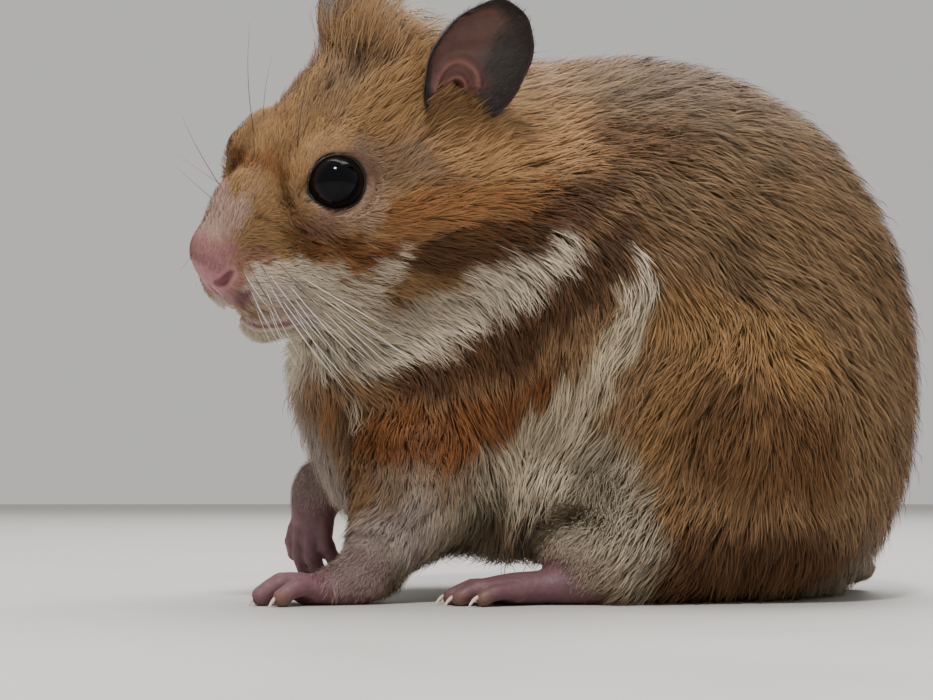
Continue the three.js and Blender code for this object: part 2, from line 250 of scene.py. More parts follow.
feet = {
    "foreLeft": (facing(trunk, (-28.2, -24.5, 0), (-1, -0.2, 0), upwards), forePads, foreDigits),
    "foreRight": (facing(trunk, (-31.6, 9.5, 9.4), (-0.12, -0.05, -1), (-0.6, -0.8, 0.1)),
                  forePads, hangingDigits),
    "hindLeft": (facing(trunk, (-3.8, -25, 0), (-1, -0.1, 0), upwards), hindPads, hindDigits),
    "hindRight": (facing(trunk, (11.5, 24, 0), (-1, 0.1, 0), upwards), hindPads, hindDigits),
}


def bowed(start, end, bow, steps=6):
    # a quadratic curve from start to end whose middle handle is lifted along z by bow
    start, end = np.array(start, float), np.array(end, float)
    handle = start + (end - start) * 0.55 + np.array([0, 0, bow])
    t = np.linspace(0, 1, steps)[:, None]
    return (1 - t) ** 2 * start + 2 * t * (1 - t) * handle + t * t * end


def pathDistance(points, path, radii):
    # the least distance to a chain of round cones, each between two points of the path with their radii
    near = np.full(len(points), farAway, points.dtype)
    for a, b, ra, rb in zip(path[:-1], path[1:], radii[:-1], radii[1:]):
        along = np.clip((points - a) @ (b - a) / ((b - a) @ (b - a)), 0, 1)
        off = points - a - along[:, None] * (b - a)
        near = np.minimum(near, np.sqrt((off * off).sum(1)) - (ra + (rb - ra) * along))
    return near


def footField(points, foot):
    # the pads melted together, and each digit melted onto them
    axes, pads, digits = foot
    local = intoAxes(axes, points)
    near = blobField(local, [(plainAxes, centre, half, footShape["padMelt"]) for centre, half in pads])
    for root, tip, radius, bow in digits:
        digit = pathDistance(local, bowed(root, tip, bow), radius * np.array(footShape["knuckles"]))
        near = meltInto(near, digit, footShape["digitMelt"])
    return near


# ---- the head's openings: eyes, lids, nostrils, mouth, in the head's axes

eye = dict(
    radius=3.2, aside=8.0, forward=0.1,
    axis=(0.3, 0.87, 0.38), bulge={1: 0, -1: 0.95},  # which way it looks, and how far out each one stands
    cornea=0.12, corneaEdge=0.95,  # how far the front swells, and from what angle to the axis
)
lid = dict(
    opening=69, almond=3, corner=11, cornerWidth=20,  # degrees from the eye's axis; the corner is in front
    mound=(1.5, 5.0, 4.8),  # half sizes of the lids' swelling, along the eye's axis, forward and up
    rim=0.13, rimOut=0.1,  # the bead's own radius, and how far out of the ball its middle line is
    gap=0.05, front=1.8,  # room round the ball, and how far in front of it the slit is cut
)
tail = dict(path=((31, 0.5, 6.5), (36, 1.2, 4.6), (39.3, 3.6, 3.0), (39.2, 7.2, 2.0), (37.5, 9.5, 1.5)),
            radii=(1.9, 1.6, 1.25, 1.0, 0.75))
carved = [  # paths and radii cut into the skin, on both sides
    (((14.9, 2.0, -7.7), (14.3, 2.9, -7.3), (13.6, 3.5, -6.5)), (0.3, 0.36, 0.18)),  # nostril
    (((15.0, 0.0, -8.4), (14.5, 0.0, -9.3), (14.0, 0.0, -10.1), (13.1, 0.0, -11.0), (12.2, 0.0, -12.4)),
     (0.15, 0.22, 0.25, 0.28, 0.25)),  # groove under the nose
    (((12.2, 0.0, -13.5), (12.1, 1.0, -13.9), (11.7, 2.0, -14.4), (10.9, 3.0, -14.8), (9.4, 4.4, -15.1),
      (7.9, 5.8, -14.8)), (0.5, 0.6, 0.64, 0.6, 0.5, 0.2)),  # mouth
]
melts = dict(foot=1.2, tail=1.0, lids=2.5, carving=0.35)  # how softly each part runs into the skin
floorGap = 0.04


def eyeAxes(side):
    # from the ball's middle, x out along the way the eye looks and z as near to the head's up as it can be
    forward, aside, up = eye["axis"]
    axis = np.array([forward, side * aside, up])
    place = np.array([eye["forward"], side * eye["aside"], 0]) + axis * eye["bulge"][side]
    return facing(head, place, axis, upwards)


def openingAt(side, local):
    # how far the lids open each way round the eye: an oval, and a corner towards the nose
    turned = np.arctan2(local[:, 2], -side * local[:, 1])
    corner = np.exp(-((turned / np.radians(lid["cornerWidth"])) ** 2))
    return np.radians(lid["opening"] + lid["almond"] * np.cos(2 * turned) + lid["corner"] * corner)


def fromRim(side, local):
    # distance in the flat through the eye's axis to where the lids' edge touches the ball
    opening = openingAt(side, local)
    out = np.hypot(local[:, 1], local[:, 2])
    return np.hypot(local[:, 0] - eye["radius"] * np.cos(opening), out - eye["radius"] * np.sin(opening))


def fleshField(points):
    # the animal's field lowered by the coat's depth, and kept above the floor
    inward = depthAt(points) + pulled(points, 0, lowered)
    return np.maximum(blobField(points, fleshBlobs) + inward, 0.5 - points[:, 2])


def lidded(field, side, local):
    # the lids swell the field round the ball, and the ball's socket and the slit between the lids are cut out
    swelling = blobField(local, [(plainAxes, (0, 0, 0), lid["mound"], melts["lids"])])
    lids = meltInto(field, swelling, melts["lids"])
    reach = np.linalg.norm(local, axis=1)
    beyond = np.arctan2(np.hypot(local[:, 1], local[:, 2]), local[:, 0]) - openingAt(side, local)
    ball = reach - eye["radius"] - lid["gap"]
    slit = np.maximum(beyond * eye["radius"], reach - eye["radius"] - lid["front"])
    return np.maximum(lids, -np.minimum(ball, slit))


def skinField(points):
    # the lowered flesh with feet and tail melted on, lids swollen and openings cut, each only near its place
    kind = points.dtype
    field = fleshField(points)
    for foot in feet.values():
        where = within(points, outOfAxes(foot[0], np.array([0, 0, 2])), 15)
        field[where] = meltInto(field[where], footField(points[where], foot).astype(kind), melts["foot"])
    where = within(points, trunk[1] + np.array([37, 4, 4]), 14)
    thin = pathDistance(intoAxes(trunk, points[where]), np.array(tail["path"]), tail["radii"])
    field[where] = meltInto(field[where], thin.astype(kind), melts["tail"])
    for side in (1, -1):
        axes = eyeAxes(side)
        where = within(points, axes[1], 9)
        field[where] = lidded(field[where], side, intoAxes(axes, points[where]).astype(kind))
    where = within(points, outOfAxes(head, np.array([11, 0, -11])), 13)
    local = folded(head, points[where])
    for path, radii in carved:
        cut = pathDistance(local, np.array(path, float), radii).astype(kind)
        field[where] = -meltInto(-field[where], cut, melts["carving"])
    return np.maximum(field, floorGap - points[:, 2])


# ---- the surface of a field over a grid of unequal steps


def gridLines(*spans):
    # each span is where it starts and its step, and the last is where the lines end
    lines = [np.arange(start, after[0], step) for (start, step), after in zip(spans[:-1], spans[1:])]
    return np.concatenate(lines).astype(np.float32)


def cellsRound(corner, first, second):
    # the four cells that share a grid line's step, in order round it
    for back in ((0, 0), (1, 0), (1, 1), (0, 1)):
        cell = np.stack(corner, 1)
        cell[:, first] -= back[0]
        cell[:, second] -= back[1]
        yield cell


def surfaceOf(field, lines):
    # one vertex in each cell the surface crosses, at the mean of its crossings with the cell's edges, and one
    # quad round each edge of the grid it crosses
    shape = tuple(len(line) for line in lines)
    cells = tuple(n - 1 for n in shape)
    total = np.zeros(cells + (3,), np.float32)
    count = np.zeros(cells, np.int32)
    crossings = []
    for axis in range(3):
        low = [slice(None)] * 3
        high = [slice(None)] * 3
        low[axis], high[axis] = slice(0, -1), slice(1, None)
        a, b = field[tuple(low)], field[tuple(high)]
        i, j, k = np.nonzero((a < 0) != (b < 0))
        share = a[i, j, k] / (a[i, j, k] - b[i, j, k])
        place = np.stack([lines[0][i], lines[1][j], lines[2][k]], 1)
        at = (i, j, k)[axis]
        place[:, axis] += share * (lines[axis][at + 1] - lines[axis][at])
        first, second = [n for n in range(3) if n != axis]
        for cell in cellsRound((i, j, k), first, second):
            fits = ((cell >= 0) & (cell < np.array(cells))).all(1)
            c = tuple(cell[fits].T)
            np.add.at(total, c, place[fits])
            np.add.at(count, c, 1)
        crossings.append((axis, first, second, (i, j, k), a[i, j, k] < 0))
    number = np.full(cells, -1, np.int64)
    full = count > 0
    number[full] = np.arange(full.sum())
    points = total[full] / count[full][:, None]
    faces = []
    for axis, first, second, corner, outward in crossings:
        around = [np.clip(cell, 0, np.array(cells) - 1) for cell in cellsRound(corner, first, second)]
        quad = np.stack([number[tuple(cell.T)] for cell in around], 1)
        flip = outward if axis != 1 else ~outward
        quad[flip] = quad[flip][:, ::-1]
        faces.append(quad)
    return points.astype(np.float64), np.concatenate(faces)[:, ::-1]


def gradientOf(field, points, step=0.05):
    # half the difference of the field a step to each side, over the step
    parts = []
    for axis in range(3):
        shift = np.zeros(3)
        shift[axis] = step
        parts.append(field(points + shift) - field(points - shift))
    return np.stack(parts, 1) / (2 * step)


def relaxed(points, faces, field, rounds=3, furthest=0.3, flattest=0.2):
    # each round moves every vertex half way to the mean of its neighbours and then back onto the surface, by
    # the field over the gradient's square, along the gradient
    edges = np.concatenate([faces[:, [0, 1]], faces[:, [1, 2]], faces[:, [2, 3]], faces[:, [3, 0]]])
    edges = np.concatenate([edges, edges[:, ::-1]])
    share = np.bincount(edges[:, 0], minlength=len(points))[:, None]
    for _ in range(rounds):
        sums = [np.bincount(edges[:, 0], points[edges[:, 1], n], len(points)) for n in range(3)]
        mean = np.stack(sums, 1) / share
        points = (points + mean) / 2
        slope = gradientOf(field, points)
        reach = field(points)[:, None] * slope / np.maximum((slope * slope).sum(1, keepdims=True), flattest)
        points = points - np.clip(reach, -furthest, furthest)
    return points


def meshOf(name, points, faces, colour, material):
    # points in millimetres, faces all of one number of corners, and a colour for each point
    mesh = bpy.data.meshes.new(name)
    mesh.vertices.add(len(points))
    mesh.vertices.foreach_set("co", (points * millimetre).astype(np.float32).ravel())
    mesh.loops.add(faces.size)
    mesh.loops.foreach_set("vertex_index", faces.astype(np.int32).ravel())
    mesh.polygons.add(len(faces))
    mesh.polygons.foreach_set("loop_start", np.arange(0, faces.size, faces.shape[1], dtype=np.int32))
    mesh.update(calc_edges=True)
    mesh.shade_smooth()
    layer = mesh.color_attributes.new("hue", "FLOAT_COLOR", "POINT")
    opaque = np.pad(colour, ((0, 0), (0, 1)), constant_values=1)
    layer.data.foreach_set("color", opaque.astype(np.float32).ravel())
    mesh.materials.append(material)
    piece = bpy.data.objects.new(name, mesh)
    bpy.context.scene.collection.objects.link(piece)
    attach(piece, "root")
    return piece


skinGrid = [  # fine round the head and the feet: where each span starts and its step, along x, y and z
    gridLines((-46.5, 0.27), (-35, 0.38), (-24, 0.95), (48, 0)),
    gridLines((-35, 0.32), (-25, 0.42), (-15, 0.95), (38, 0)),
    gridLines((-0.4, 0.33), (5.6, 0.5), (15, 0.75), (31, 0.45), (36, 0.3), (47, 0.42), (57, 0.95), (78, 0)),
]
gridPoints = np.stack(np.meshgrid(*skinGrid, indexing="ij"), -1).reshape(-1, 3)
print("grid of", len(gridPoints), "points")
skinValues = np.concatenate([skinField(part) for part in np.array_split(gridPoints, 12)])
skinPoints, skinFaces = surfaceOf(skinValues.reshape([len(line) for line in skinGrid]), skinGrid)
skinPoints = relaxed(skinPoints, skinFaces, skinField)
print("skin of", len(skinPoints), "vertices")

# ---- noise


def waves(points, size, number):
    # eight crossed sine waves of about that wavelength, with a random way and start each, from -1 to 1
    draw = np.random.default_rng(seed + number)
    ways = unit(draw.normal(size=(8, 3))) * (2 * np.pi / size) * draw.uniform(0.6, 1.5, (8, 1))
    return np.sin(points @ ways.T + draw.uniform(0, 6.3, 8)).sum(1) / 3.2


# ---- markings: broad strokes of colour, laid one over another, alike on both sides
# the skin and the coat ask for them at the same places, so they carry the same markings


def paintOf(red, green, blue):
    # from the values a colour picker shows to the linear ones the shader takes
    value = np.array([red, green, blue]) / 255
    return np.where(value < 0.04045, value / 12.92, ((value + 0.055) / 1.055) ** 2.4)


paints = dict(
    agouti=paintOf(127, 100, 70), brown=paintOf(132, 101, 70), tawny=paintOf(145, 109, 68),
    russet=paintOf(112, 79, 48), honey=paintOf(154, 118, 78), straw=paintOf(168, 127, 86),
    orange=paintOf(142, 94, 54), rust=paintOf(118, 73, 39), umber=paintOf(82, 52, 29),
    dark=paintOf(62, 41, 26), grey=paintOf(84, 73, 62), cream=paintOf(184, 168, 142),
    white=paintOf(198, 183, 161), dusk=paintOf(152, 136, 126), sand=paintOf(158, 128, 104),
    pink=paintOf(176, 146, 134), rose=paintOf(152, 106, 108), mauve=paintOf(118, 78, 84),
    slate=paintOf(60, 54, 50), ink=paintOf(34, 27, 23), oat=paintOf(160, 146, 124),
    taupe=paintOf(122, 97, 76), fawn=paintOf(142, 102, 82), shell=paintOf(196, 178, 170),
)
# axes, and strokes: path in (x, aside, z), radius or radii in millimetres, colour, how much it covers
markings = [
    (trunk, [
        (((3, 0, 70), (25, 0, 66), (40, 0, 52)), 16, "agouti", 1),  # back
        (((3, 22, 58), (10, 24, 55), (17, 25, 50), (26, 24, 42), (34, 24, 36)), 11, "agouti", 0.9),  # flank
        (((14, 29, 31), (20, 30, 29.5), (25, 29.5, 27.5)), 5, "tawny", 0.9),  # thigh, above
        (((13, 30, 20), (20, 31, 17.5), (27, 30, 15)), (6, 7, 5), "russet", 0.8),  # thigh, middle
        (((15, 31, 18), (26, 30, 16)), (5, 6), "umber", 0.4),  # its shade
        (((9, 28, 9), (9, 29, 16), (11, 29, 25), (14, 29, 32)), 3, "tawny", 0.5),  # thigh's front edge
        (((9, 28, 3.5), (16, 26, 3.5), (26, 25, 3.5), (35, 13, 3.5)),
         4.5, "umber", 0.9),  # thigh, below, round to the seat
        (((36, 23, 31), (37, 24, 23), (35, 24, 12)), 6, "agouti", 0.8),  # side of the seat
        (((0, 26, 55), (6, 27, 54.5), (12, 27, 54)), 5.5, "russet", 0.9),  # patch over the shoulder blade
        (((4, 27, 53.5), (10, 28, 53)), 3, "umber", 0.35),  # its darker middle
        (((9, 28, 45), (8, 29, 40)), 3, "russet", 0.35),  # below it
        (((-3, 15, 63), (7, 16, 63), (15, 17, 61)), 5, "grey", 0.2),  # over the nape
        (((19.5, 27, 40), (20, 28.5, 34.5)), 2, "dark", 0.5),  # fleck on the flank
        (((-6, 17, 63), (-2, 23, 56), (-2, 25, 51)), (6, 5, 3), "straw", 0.9),  # side of the nape
        (((-18, 0, 6), (-5, 0, 5), (12, 0, 3), (26, 0, 2)), 17, "oat", 1),  # belly
        (((-18, 25, 14), (-10, 22.5, 13), (-3, 22, 12), (2, 24, 12)),
         (4, 5.5, 6, 7), "oat", 1),  # upper arm to groin
        (((-2, 25, 7), (2, 25, 10), (4, 27, 6)), 6, "oat", 0.9),  # groin
        (((-14, 24, 9), (-17, 22, 5), (-20, 20, 4)), 5, "oat", 0.9),  # forearm
        (((-34, 0, 34), (-32, 0, 24), (-28, 0, 14)), 9, "cream", 0.9),  # chest
        (((-31, 20, 27.5), (-26.5, 24, 28.5), (-21, 24, 29)), 2.6, "dusk", 0.9),  # throat, below the cheek
        (((-33.5, 17, 27), (-31.2, 19, 23), (-29.2, 20, 21)),
         (2.6, 3, 2.2), "orange", 0.85),  # front of the shoulder
        (((-6, 17, 5.5), (-2, 18.5, 7), (1, 20, 8)), 2.2, "grey", 0.8),  # armpit: painted shadow low under the belly, before the thigh
        (((-25.5, 22, 18.5), (-20, 25.5, 19), (-14, 26, 18.5), (-8, 25, 20.5), (-2.5, 25.5, 23.5)),
         (2.6, 3.8, 4, 3.8, 2.8), "rust", 1),  # band across the upper arm
        (((-23.5, 25.5, 14), (-18, 27, 13), (-12.5, 25.5, 13.3)), 2.6, "taupe", 0.8),  # below the band
        (((-26.2, 26.2, 28), (-25.2, 25.2, 23.5), (-25.7, 23.2, 20)), 1.8, "cream", 0.9),  # throat's edge
        (((-27.5, 21.4, 21), (-26.8, 20.4, 18.8), (-26, 19, 16.5)),
         1.0, "dark", 0.8),  # painted shade in the fold before the arm
        (((-19, 24, 24.5), (-14, 24, 26), (-8.5, 25, 28.5), (-3, 27.5, 33), (2.5, 28.5, 37), (5.5, 28.5, 41)),
         (1.8, 2.6, 3.2, 3.2, 3, 2.6), "umber", 0.95),  # stripe from the throat to the flank
        (((9, 28.5, 38.5), (7.5, 28.5, 34.5), (5, 27.5, 28.5), (2, 26, 24), (-1.5, 23.5, 20),
          (-4.5, 22.5, 16)), (1.3, 1.9, 2.1, 2.3, 3, 4), "cream", 0.95),  # pale stripe behind the shoulder
        (((-18, 25, 8), (-22, 24.5, 6.5), (-26, 25, 4)), (3.5, 4.5, 6), "dusk", 0.9),  # wrist
        (((-30, 8, 18), (-31, 8, 8)), 6, "dusk", 0.9),  # right forearm
    ]),
    (head, [
        (((-12, 0, 0), (2, 0, 0)), (24, 19), "honey", 1),  # all over the head
        (((-26, 0, 8), (-38, 0, 4)), 14, "honey", 0.5),  # nape
        (((-3.5, 10.5, 2), (-7, 11.5, 1.5), (-10.5, 13.5, 0), (-13, 15.5, -1.5)),
         3, "taupe", 0.75),  # behind the eye
        (((-3.5, 3.5, 8.8), (-6, 4, 9.8)), 3, "taupe", 0.45),  # brow
        (((-9, 3, 12.5), (-13, 4, 13)), 4, "taupe", 0.35),  # crown
        (((2.5, 8.8, 4.5), (-1, 9.8, 4.5), (-3, 10.8, 1.5), (-2, 11.3, -1.5)),
         1.2, "taupe", 0.6),  # round the eye
        (((-5.2, 3.2, 10.3), (-7.4, 4, 10.8)), 1, "dark", 0.85),  # tick on the brow
        (((-8.5, 4.6, 11), (-11, 5.8, 11.9)), 1, "dark", 0.85),  # tick before the ear
        (((-9, 1.6, 12.6), (-12, 2.6, 13.6)), 0.9, "umber", 0.85),  # tick on the crown
        (((-12, 11.8, 3.6), (-13, 13, 1.2)), 1.1, "umber", 0.6),  # before the ear
        (((5, 0, 4.5), (5.5, 3, 3.5), (5, 5.5, 2)), (1.6, 1.8, 1.4), "rust", 0.75),  # bridge of the nose
        (((-13.5, 14, 0.5), (-16, 15.5, -0.5), (-20.5, 17, -3), (-26, 19, -4)),
         3.6, "straw", 0.9),  # below the ear
        (((-4, 14, -5), (-8, 16, -5), (-13, 18, -6), (-20, 21, -7)), 3, "orange", 0.8),  # cheek, above
        (((4, 10, -2.5), (1, 12, -3.5), (-3, 12.5, -2)), 1.8, "sand", 0.85),  # under the eye
        (((12.5, 0, -0.5), (11, 2.5, 0), (8.5, 3, 1)), (3, 2.5, 0.9), "pink", 0.8),  # top of the nose
        (((16, 0, -4), (14.5, 3, -5)), 3, "rose", 0.9),  # nose
        (((11, 6, -9), (7, 8, -9.5), (5, 11.5, -11), (7, 9, -14.5)),
         (2.4, 2.8, 3, 3), "white", 1),  # whisker pad
        (((11.5, 6, -9), (9.5, 7, -11)), 2.4, "shell", 0.6),  # its pinker front
        (((12.2, 4.2, -5.4), (10.6, 4.8, -4.9), (9.4, 5.6, -6)), 1.3, "fawn", 0.9),  # beside the nostril
        (((8.7, 4.4, -0.8), (7.9, 5, -1.6)), 0.4, "umber", 0.7),  # rows of whisker roots
        (((7.6, 5.3, -2.3), (6.9, 5.9, -3.1)), 0.4, "umber", 0.7),
        (((6.6, 6.1, -4), (6, 6.8, -5)), 0.4, "umber", 0.7),
        (((6.5, 7, -5), (4.5, 10.5, -6), (2.5, 13.5, -7.5), (0, 14.5, -8)),
         (0.9, 1.5, 1.9, 2), "rust", 0.95),  # streak from the pad to the cheek
        (((3, 12, -9), (1.5, 14, -9.5)), 1.2, "orange", 0.9),  # below the streak
        (((-4.5, 16, -10.5), (-7, 17, -10.5), (-11.5, 18.5, -11), (-16.5, 21, -10.5), (-21, 23, -9),
          (-26, 24, -8)), (2.4, 3, 3, 2.8, 2.6, 2), "umber", 0.95),  # band across the cheek
        (((3, 12, -14.5), (0.5, 14.3, -11.5), (-1.8, 15.5, -8.3), (-3, 15.7, -6.8)),
         (2.4, 1.7, 1.1, 0.5), "white", 0.95),  # wedge of white in it
        (((11, 0, -17.5), (2, 0, -21), (-8, 0, -22)), (5, 9, 9), "white", 1),  # chin and throat
        (((6, 9, -18), (1.5, 12.5, -19), (-3, 15.5, -18.5), (-8, 19, -17), (-13.5, 22.5, -14.8),
          (-18.5, 25, -12.8)), (4, 3.8, 3.3, 3, 2.6, 1.6), "white", 1),  # crescent under the cheek
        (((13.6, 0, -12.6), (13.2, 3, -13.5), (11.2, 5, -14.8), (8.5, 7.5, -15)), 1.9, "shell", 0.95),  # lips
        (((12.5, 0, -16), (10, 4, -17)), 2.6, "white", 1),  # chin
        (((15.2, 0, -9.4), (14.8, 2.6, -9.3), (13.6, 4.3, -9.4)), 1.4, "mauve", 0.9),  # under the nose
        (((5, 8, -3.2), (3, 10.5, -3.9)), 1.5, "fawn", 0.75),  # below the eye
        (((3.3, 7.8, -0.2), (4.8, 7.3, -0.5)), (0.6, 0.2), "ink", 1),  # front corner of the eye
    ]),
    (trunk, [
        (((-26.5, 25.6, 26.6), (-22.7, 26.6, 26.4), (-19, 26.6, 26.6), (-16.7, 26.6, 25.5)),
         1.8, "grey", 0.85),  # grey end of the throat's stripe
        (((9, 28.5, 38.5), (7.5, 28.5, 34.5)), 1.7, "white", 0.9),  # top of the pale stripe
    ]),
]


def markedColour(points):
    # each stroke covers what lies within its radius, fading over about a quarter of it to each side of its
    # edge, and noise moves the points first, so that no edge is straight
    colour = np.repeat(paints["brown"][None], len(points), 0)
    drift = np.stack([waves(points, 5, 3 + n) + 0.5 * waves(points, 1.6, 6 + n) for n in range(3)], 1) * 0.7
    for axes, strokes in markings:
        local = folded(axes, points + drift)
        for path, radii, name, cover in strokes:
            radii = np.broadcast_to(np.array(radii, float), (len(path),))
            soft = radii.mean() * 0.25 + 0.3
            outside = pathDistance(local, np.array(path, float), radii)
            share = cover * smooth(0.5 - outside / soft / 2)
            colour += (paints[name] - colour) * share[:, None]
    return colour


tips = dict(
    anywhere=0.1, back=0.3, stripe=0.25,  # shares of the strands that end dark
    stripePath=((-8, 25, 27), (1, 28, 36), (8, 28, 46)), stripeRadius=5,
)


def darkTips(points):
    # more of them end dark high on the back, and along the stripe behind the shoulder
    local = folded(trunk, points)
    share = tips["anywhere"] + tips["back"] * smooth((local[:, 2] - 30) / 25) * smooth((local[:, 0] + 8) / 20)
    path = np.array(tips["stripePath"], float)
    outside = pathDistance(local, path, [tips["stripeRadius"]] * len(path))
    return share + tips["stripe"] * smooth(-outside / 3)


# ---- materials: colour from the mesh's own "hue", fine relief and roughness from noise in object coordinates


def finish(name, roughness, relief, grain, **sockets):
    # roughness is a range; relief is the bump's height and grain its size in millimetres; a Base_Color given
    # here stands in for the hue
    material = bpy.data.materials.new(name)
    material.use_nodes = True
    nodes, links = material.node_tree.nodes, material.node_tree.links
    shader = nodes["Principled BSDF"]
    for socket, value in sockets.items():
        shader.inputs[socket.replace("_", " ")].default_value = value
    if "Base_Color" not in sockets:
        colour = nodes.new("ShaderNodeAttribute")
        colour.attribute_name = "hue"
        links.new(colour.outputs["Color"], shader.inputs["Base Color"])
    where = nodes.new("ShaderNodeTexCoord")
    noise = nodes.new("ShaderNodeTexNoise")
    noise.inputs["Scale"].default_value = 1 / (grain * millimetre)
    noise.inputs["Detail"].default_value = 4
    rough = nodes.new("ShaderNodeMapRange")
    rough.inputs["From Min"].default_value, rough.inputs["From Max"].default_value = 0.3, 0.7
    rough.inputs["To Min"].default_value, rough.inputs["To Max"].default_value = roughness
    bump = nodes.new("ShaderNodeBump")
    bump.inputs["Strength"].default_value = 1
    bump.inputs["Distance"].default_value = relief * millimetre
    links.new(where.outputs["Object"], noise.inputs["Vector"])
    links.new(noise.outputs["Fac"], rough.inputs["Value"])
    links.new(rough.outputs["Result"], shader.inputs["Roughness"])
    links.new(noise.outputs["Fac"], bump.inputs["Height"])
    links.new(bump.outputs["Normal"], shader.inputs["Normal"])
    return material


skinFinish = finish("skinFinish", (0.5, 0.7), 0.12, 0.55, Subsurface_Weight=0.15, Subsurface_Scale=0.0012)
furFinish = finish("furFinish", (0.55, 0.7), 0.01, 0.4, Specular_IOR_Level=0.2)
earFinish = finish("earFinish", (0.5, 0.7), 0.06, 0.35, Subsurface_Weight=0.1, Subsurface_Scale=0.0008)
eyeFinish = finish("eyeFinish", (0.03, 0.05), 0.0005, 2.5, Specular_IOR_Level=0.13)
rimFinish = finish("rimFinish", (0.4, 0.6), 0.03, 0.3)
clawFinish = finish("clawFinish", (0.3, 0.5), 0.02, 0.3, Subsurface_Weight=0.2, Subsurface_Scale=0.0008)
whiskerFinish = finish("whiskerFinish", (0.3, 0.45), 0.004, 0.3)

# ---- a coarse grid of the skin's field, to lay strands along

coatLines = [np.arange(low, high, 1.0) for low, high in ((-52, 54), (-42, 44), (-4, 86))]
coatShape = [len(line) for line in coatLines]
coatPoints = np.stack(np.meshgrid(*coatLines, indexing="ij"), -1).reshape(-1, 3).astype(np.float32)
coatValues = np.concatenate([skinField(part) for part in np.array_split(coatPoints, 6)]).reshape(coatShape)
coatTable = np.stack([coatValues, *np.gradient(coatValues)], -1).reshape(-1, 4).astype(np.float32)
fineRound = dict(nose=7, eye=6.5)  # nearer than this the field itself is asked, not the grid


def skinAt(points):
    # distance to the skin and its gradient, weighed between the eight grid points around
    place = np.stack([points[:, n] - coatLines[n][0] for n in range(3)], 1)
    place = np.clip(place, 0, np.array(coatShape) - 1.001)
    cell = place.astype(np.int64)
    share = (place - cell).astype(np.float32)
    found = np.zeros((len(points), 4), np.float32)
    for corner in np.ndindex(2, 2, 2):
        at = cell + corner
        weight = np.prod(np.where(np.array(corner) == 1, share, 1 - share), 1)
        found += coatTable[(at[:, 0] * coatShape[1] + at[:, 1]) * coatShape[2] + at[:, 2]] * weight[:, None]
    close = within(points, outOfAxes(head, np.array([13.0, 0, -9])), fineRound["nose"])
    for side in (1, -1):
        close |= within(points, eyeAxes(side)[1], fineRound["eye"])
    found[close, 0] = skinField(points[close])
    found[close, 1:] = gradientOf(skinField, points[close], 0.1)
    return found[:, 0], found[:, 1:]


# ---- the skin: marked as the coat is but darker under it, as painted shade in the coat's gaps, and pink where it is bare

bareSkin = dict(
    depth=0.35,  # coat shallower than this shows the skin's own pink
    shadeUnderCoat=0.75,  # painted shade: how far the skin's markings are darkened under the coat, so its gaps look shadowed
    blush=paintOf(160, 112, 110), blushShare=0.45,
    # the paws' pink is deepened as painted shade; then a paint and its share for painted shade low on the
    # foot, and painted shade over the hind feet
    paw=paintOf(112, 75, 80), pawLowShade=paintOf(74, 39, 45), pawLowShadeShare=0.55, hindFootShade=0.78,
    # the paint for the openings is their own dark red, deepened as painted shade inside them
    nose=paintOf(158, 106, 110), openingRedAndShade=paintOf(98, 40, 50), rimShare=0.9,
)


def mottled(paint, points, size, amount, number):
    # one paint, lighter and darker by noise
    return paint * (1 + amount * waves(points, size, number)[:, None])


def pawTone(local, points, name):
    # the paw's paint, its pink deepened as painted shade, with more painted shade low on the foot and over
    # the whole of the hind feet
    low = smooth((1.8 - local[:, 2]) / 1.8)
    low = bareSkin["pawLowShadeShare"] * low
    paint = bareSkin["paw"] + (bareSkin["pawLowShade"] - bareSkin["paw"]) * low[:, None]
    return mottled(paint, points, 1.1, 0.1, 61) * (bareSkin["hindFootShade"] if name.startswith("hind") else 1)


def skinColour(points):
    # the coat's markings under the coat, darkened as painted shade, then pinks over the feet with painted
    # shade on them, the nose, dark red and painted shade in the openings, ink on the lids
    depth = depthAt(points)
    outward = unit(skinAt(points)[1])
    colour = markedColour(points + outward * depth[:, None]) * bareSkin["shadeUnderCoat"]
    shy = smooth(1.6 - depth / bareSkin["depth"])
    blush = mottled(bareSkin["blush"], points, 1.5, 0.08, 60)
    colour += (blush - colour) * (bareSkin["blushShare"] * shy)[:, None]
    for name, foot in feet.items():
        local = intoAxes(foot[0], points)
        off = np.linalg.norm((local - [0, 0, 2]) / [3.2, 1.6, 1.3], axis=1)
        pad = smooth(np.clip((4.5 - off) / 1.5, 0, 1))
        colour += (pawTone(local, points, name) - colour) * pad[:, None]
    local = folded(head, points)
    pad = smooth(1.7 - np.linalg.norm(local - [15.2, 0, -6.6], axis=1) / 3)
    colour += (mottled(bareSkin["nose"], points, 1.2, 0.08, 62) - colour) * pad[:, None]
    # inside the nostrils, the groove and the mouth: their own dark red, deepened as painted shade in these
    # recesses
    for path, radii in carved:
        inside = smooth(1 - pathDistance(local, np.array(path, float), radii) / 0.45)
        colour += (bareSkin["openingRedAndShade"] - colour) * (bareSkin["rimShare"] * inside)[:, None]
    for side in (1, -1):
        dark = smooth(1.5 - fromRim(side, intoAxes(eyeAxes(side), points)) / 0.5)
        colour += (paints["ink"] - colour) * (bareSkin["rimShare"] * dark)[:, None]
    return np.clip(colour, 0, 1)


skin = meshOf("skin", skinPoints, skinFaces, skinColour(skinPoints), skinFinish)
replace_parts(skin, "trunk", "neck", "head", "foreleg_left", "foreleg_right", "hindleg_left", "hindleg_right",
            "forefoot_left", "forefoot_right", "hindfoot_left", "hindfoot_right", "tail")
print("skin made,", len(skinFaces), "faces")

# ---- the lie of the coat: strokes of a comb, alike on both sides
# axes, and each stroke's place and way in them

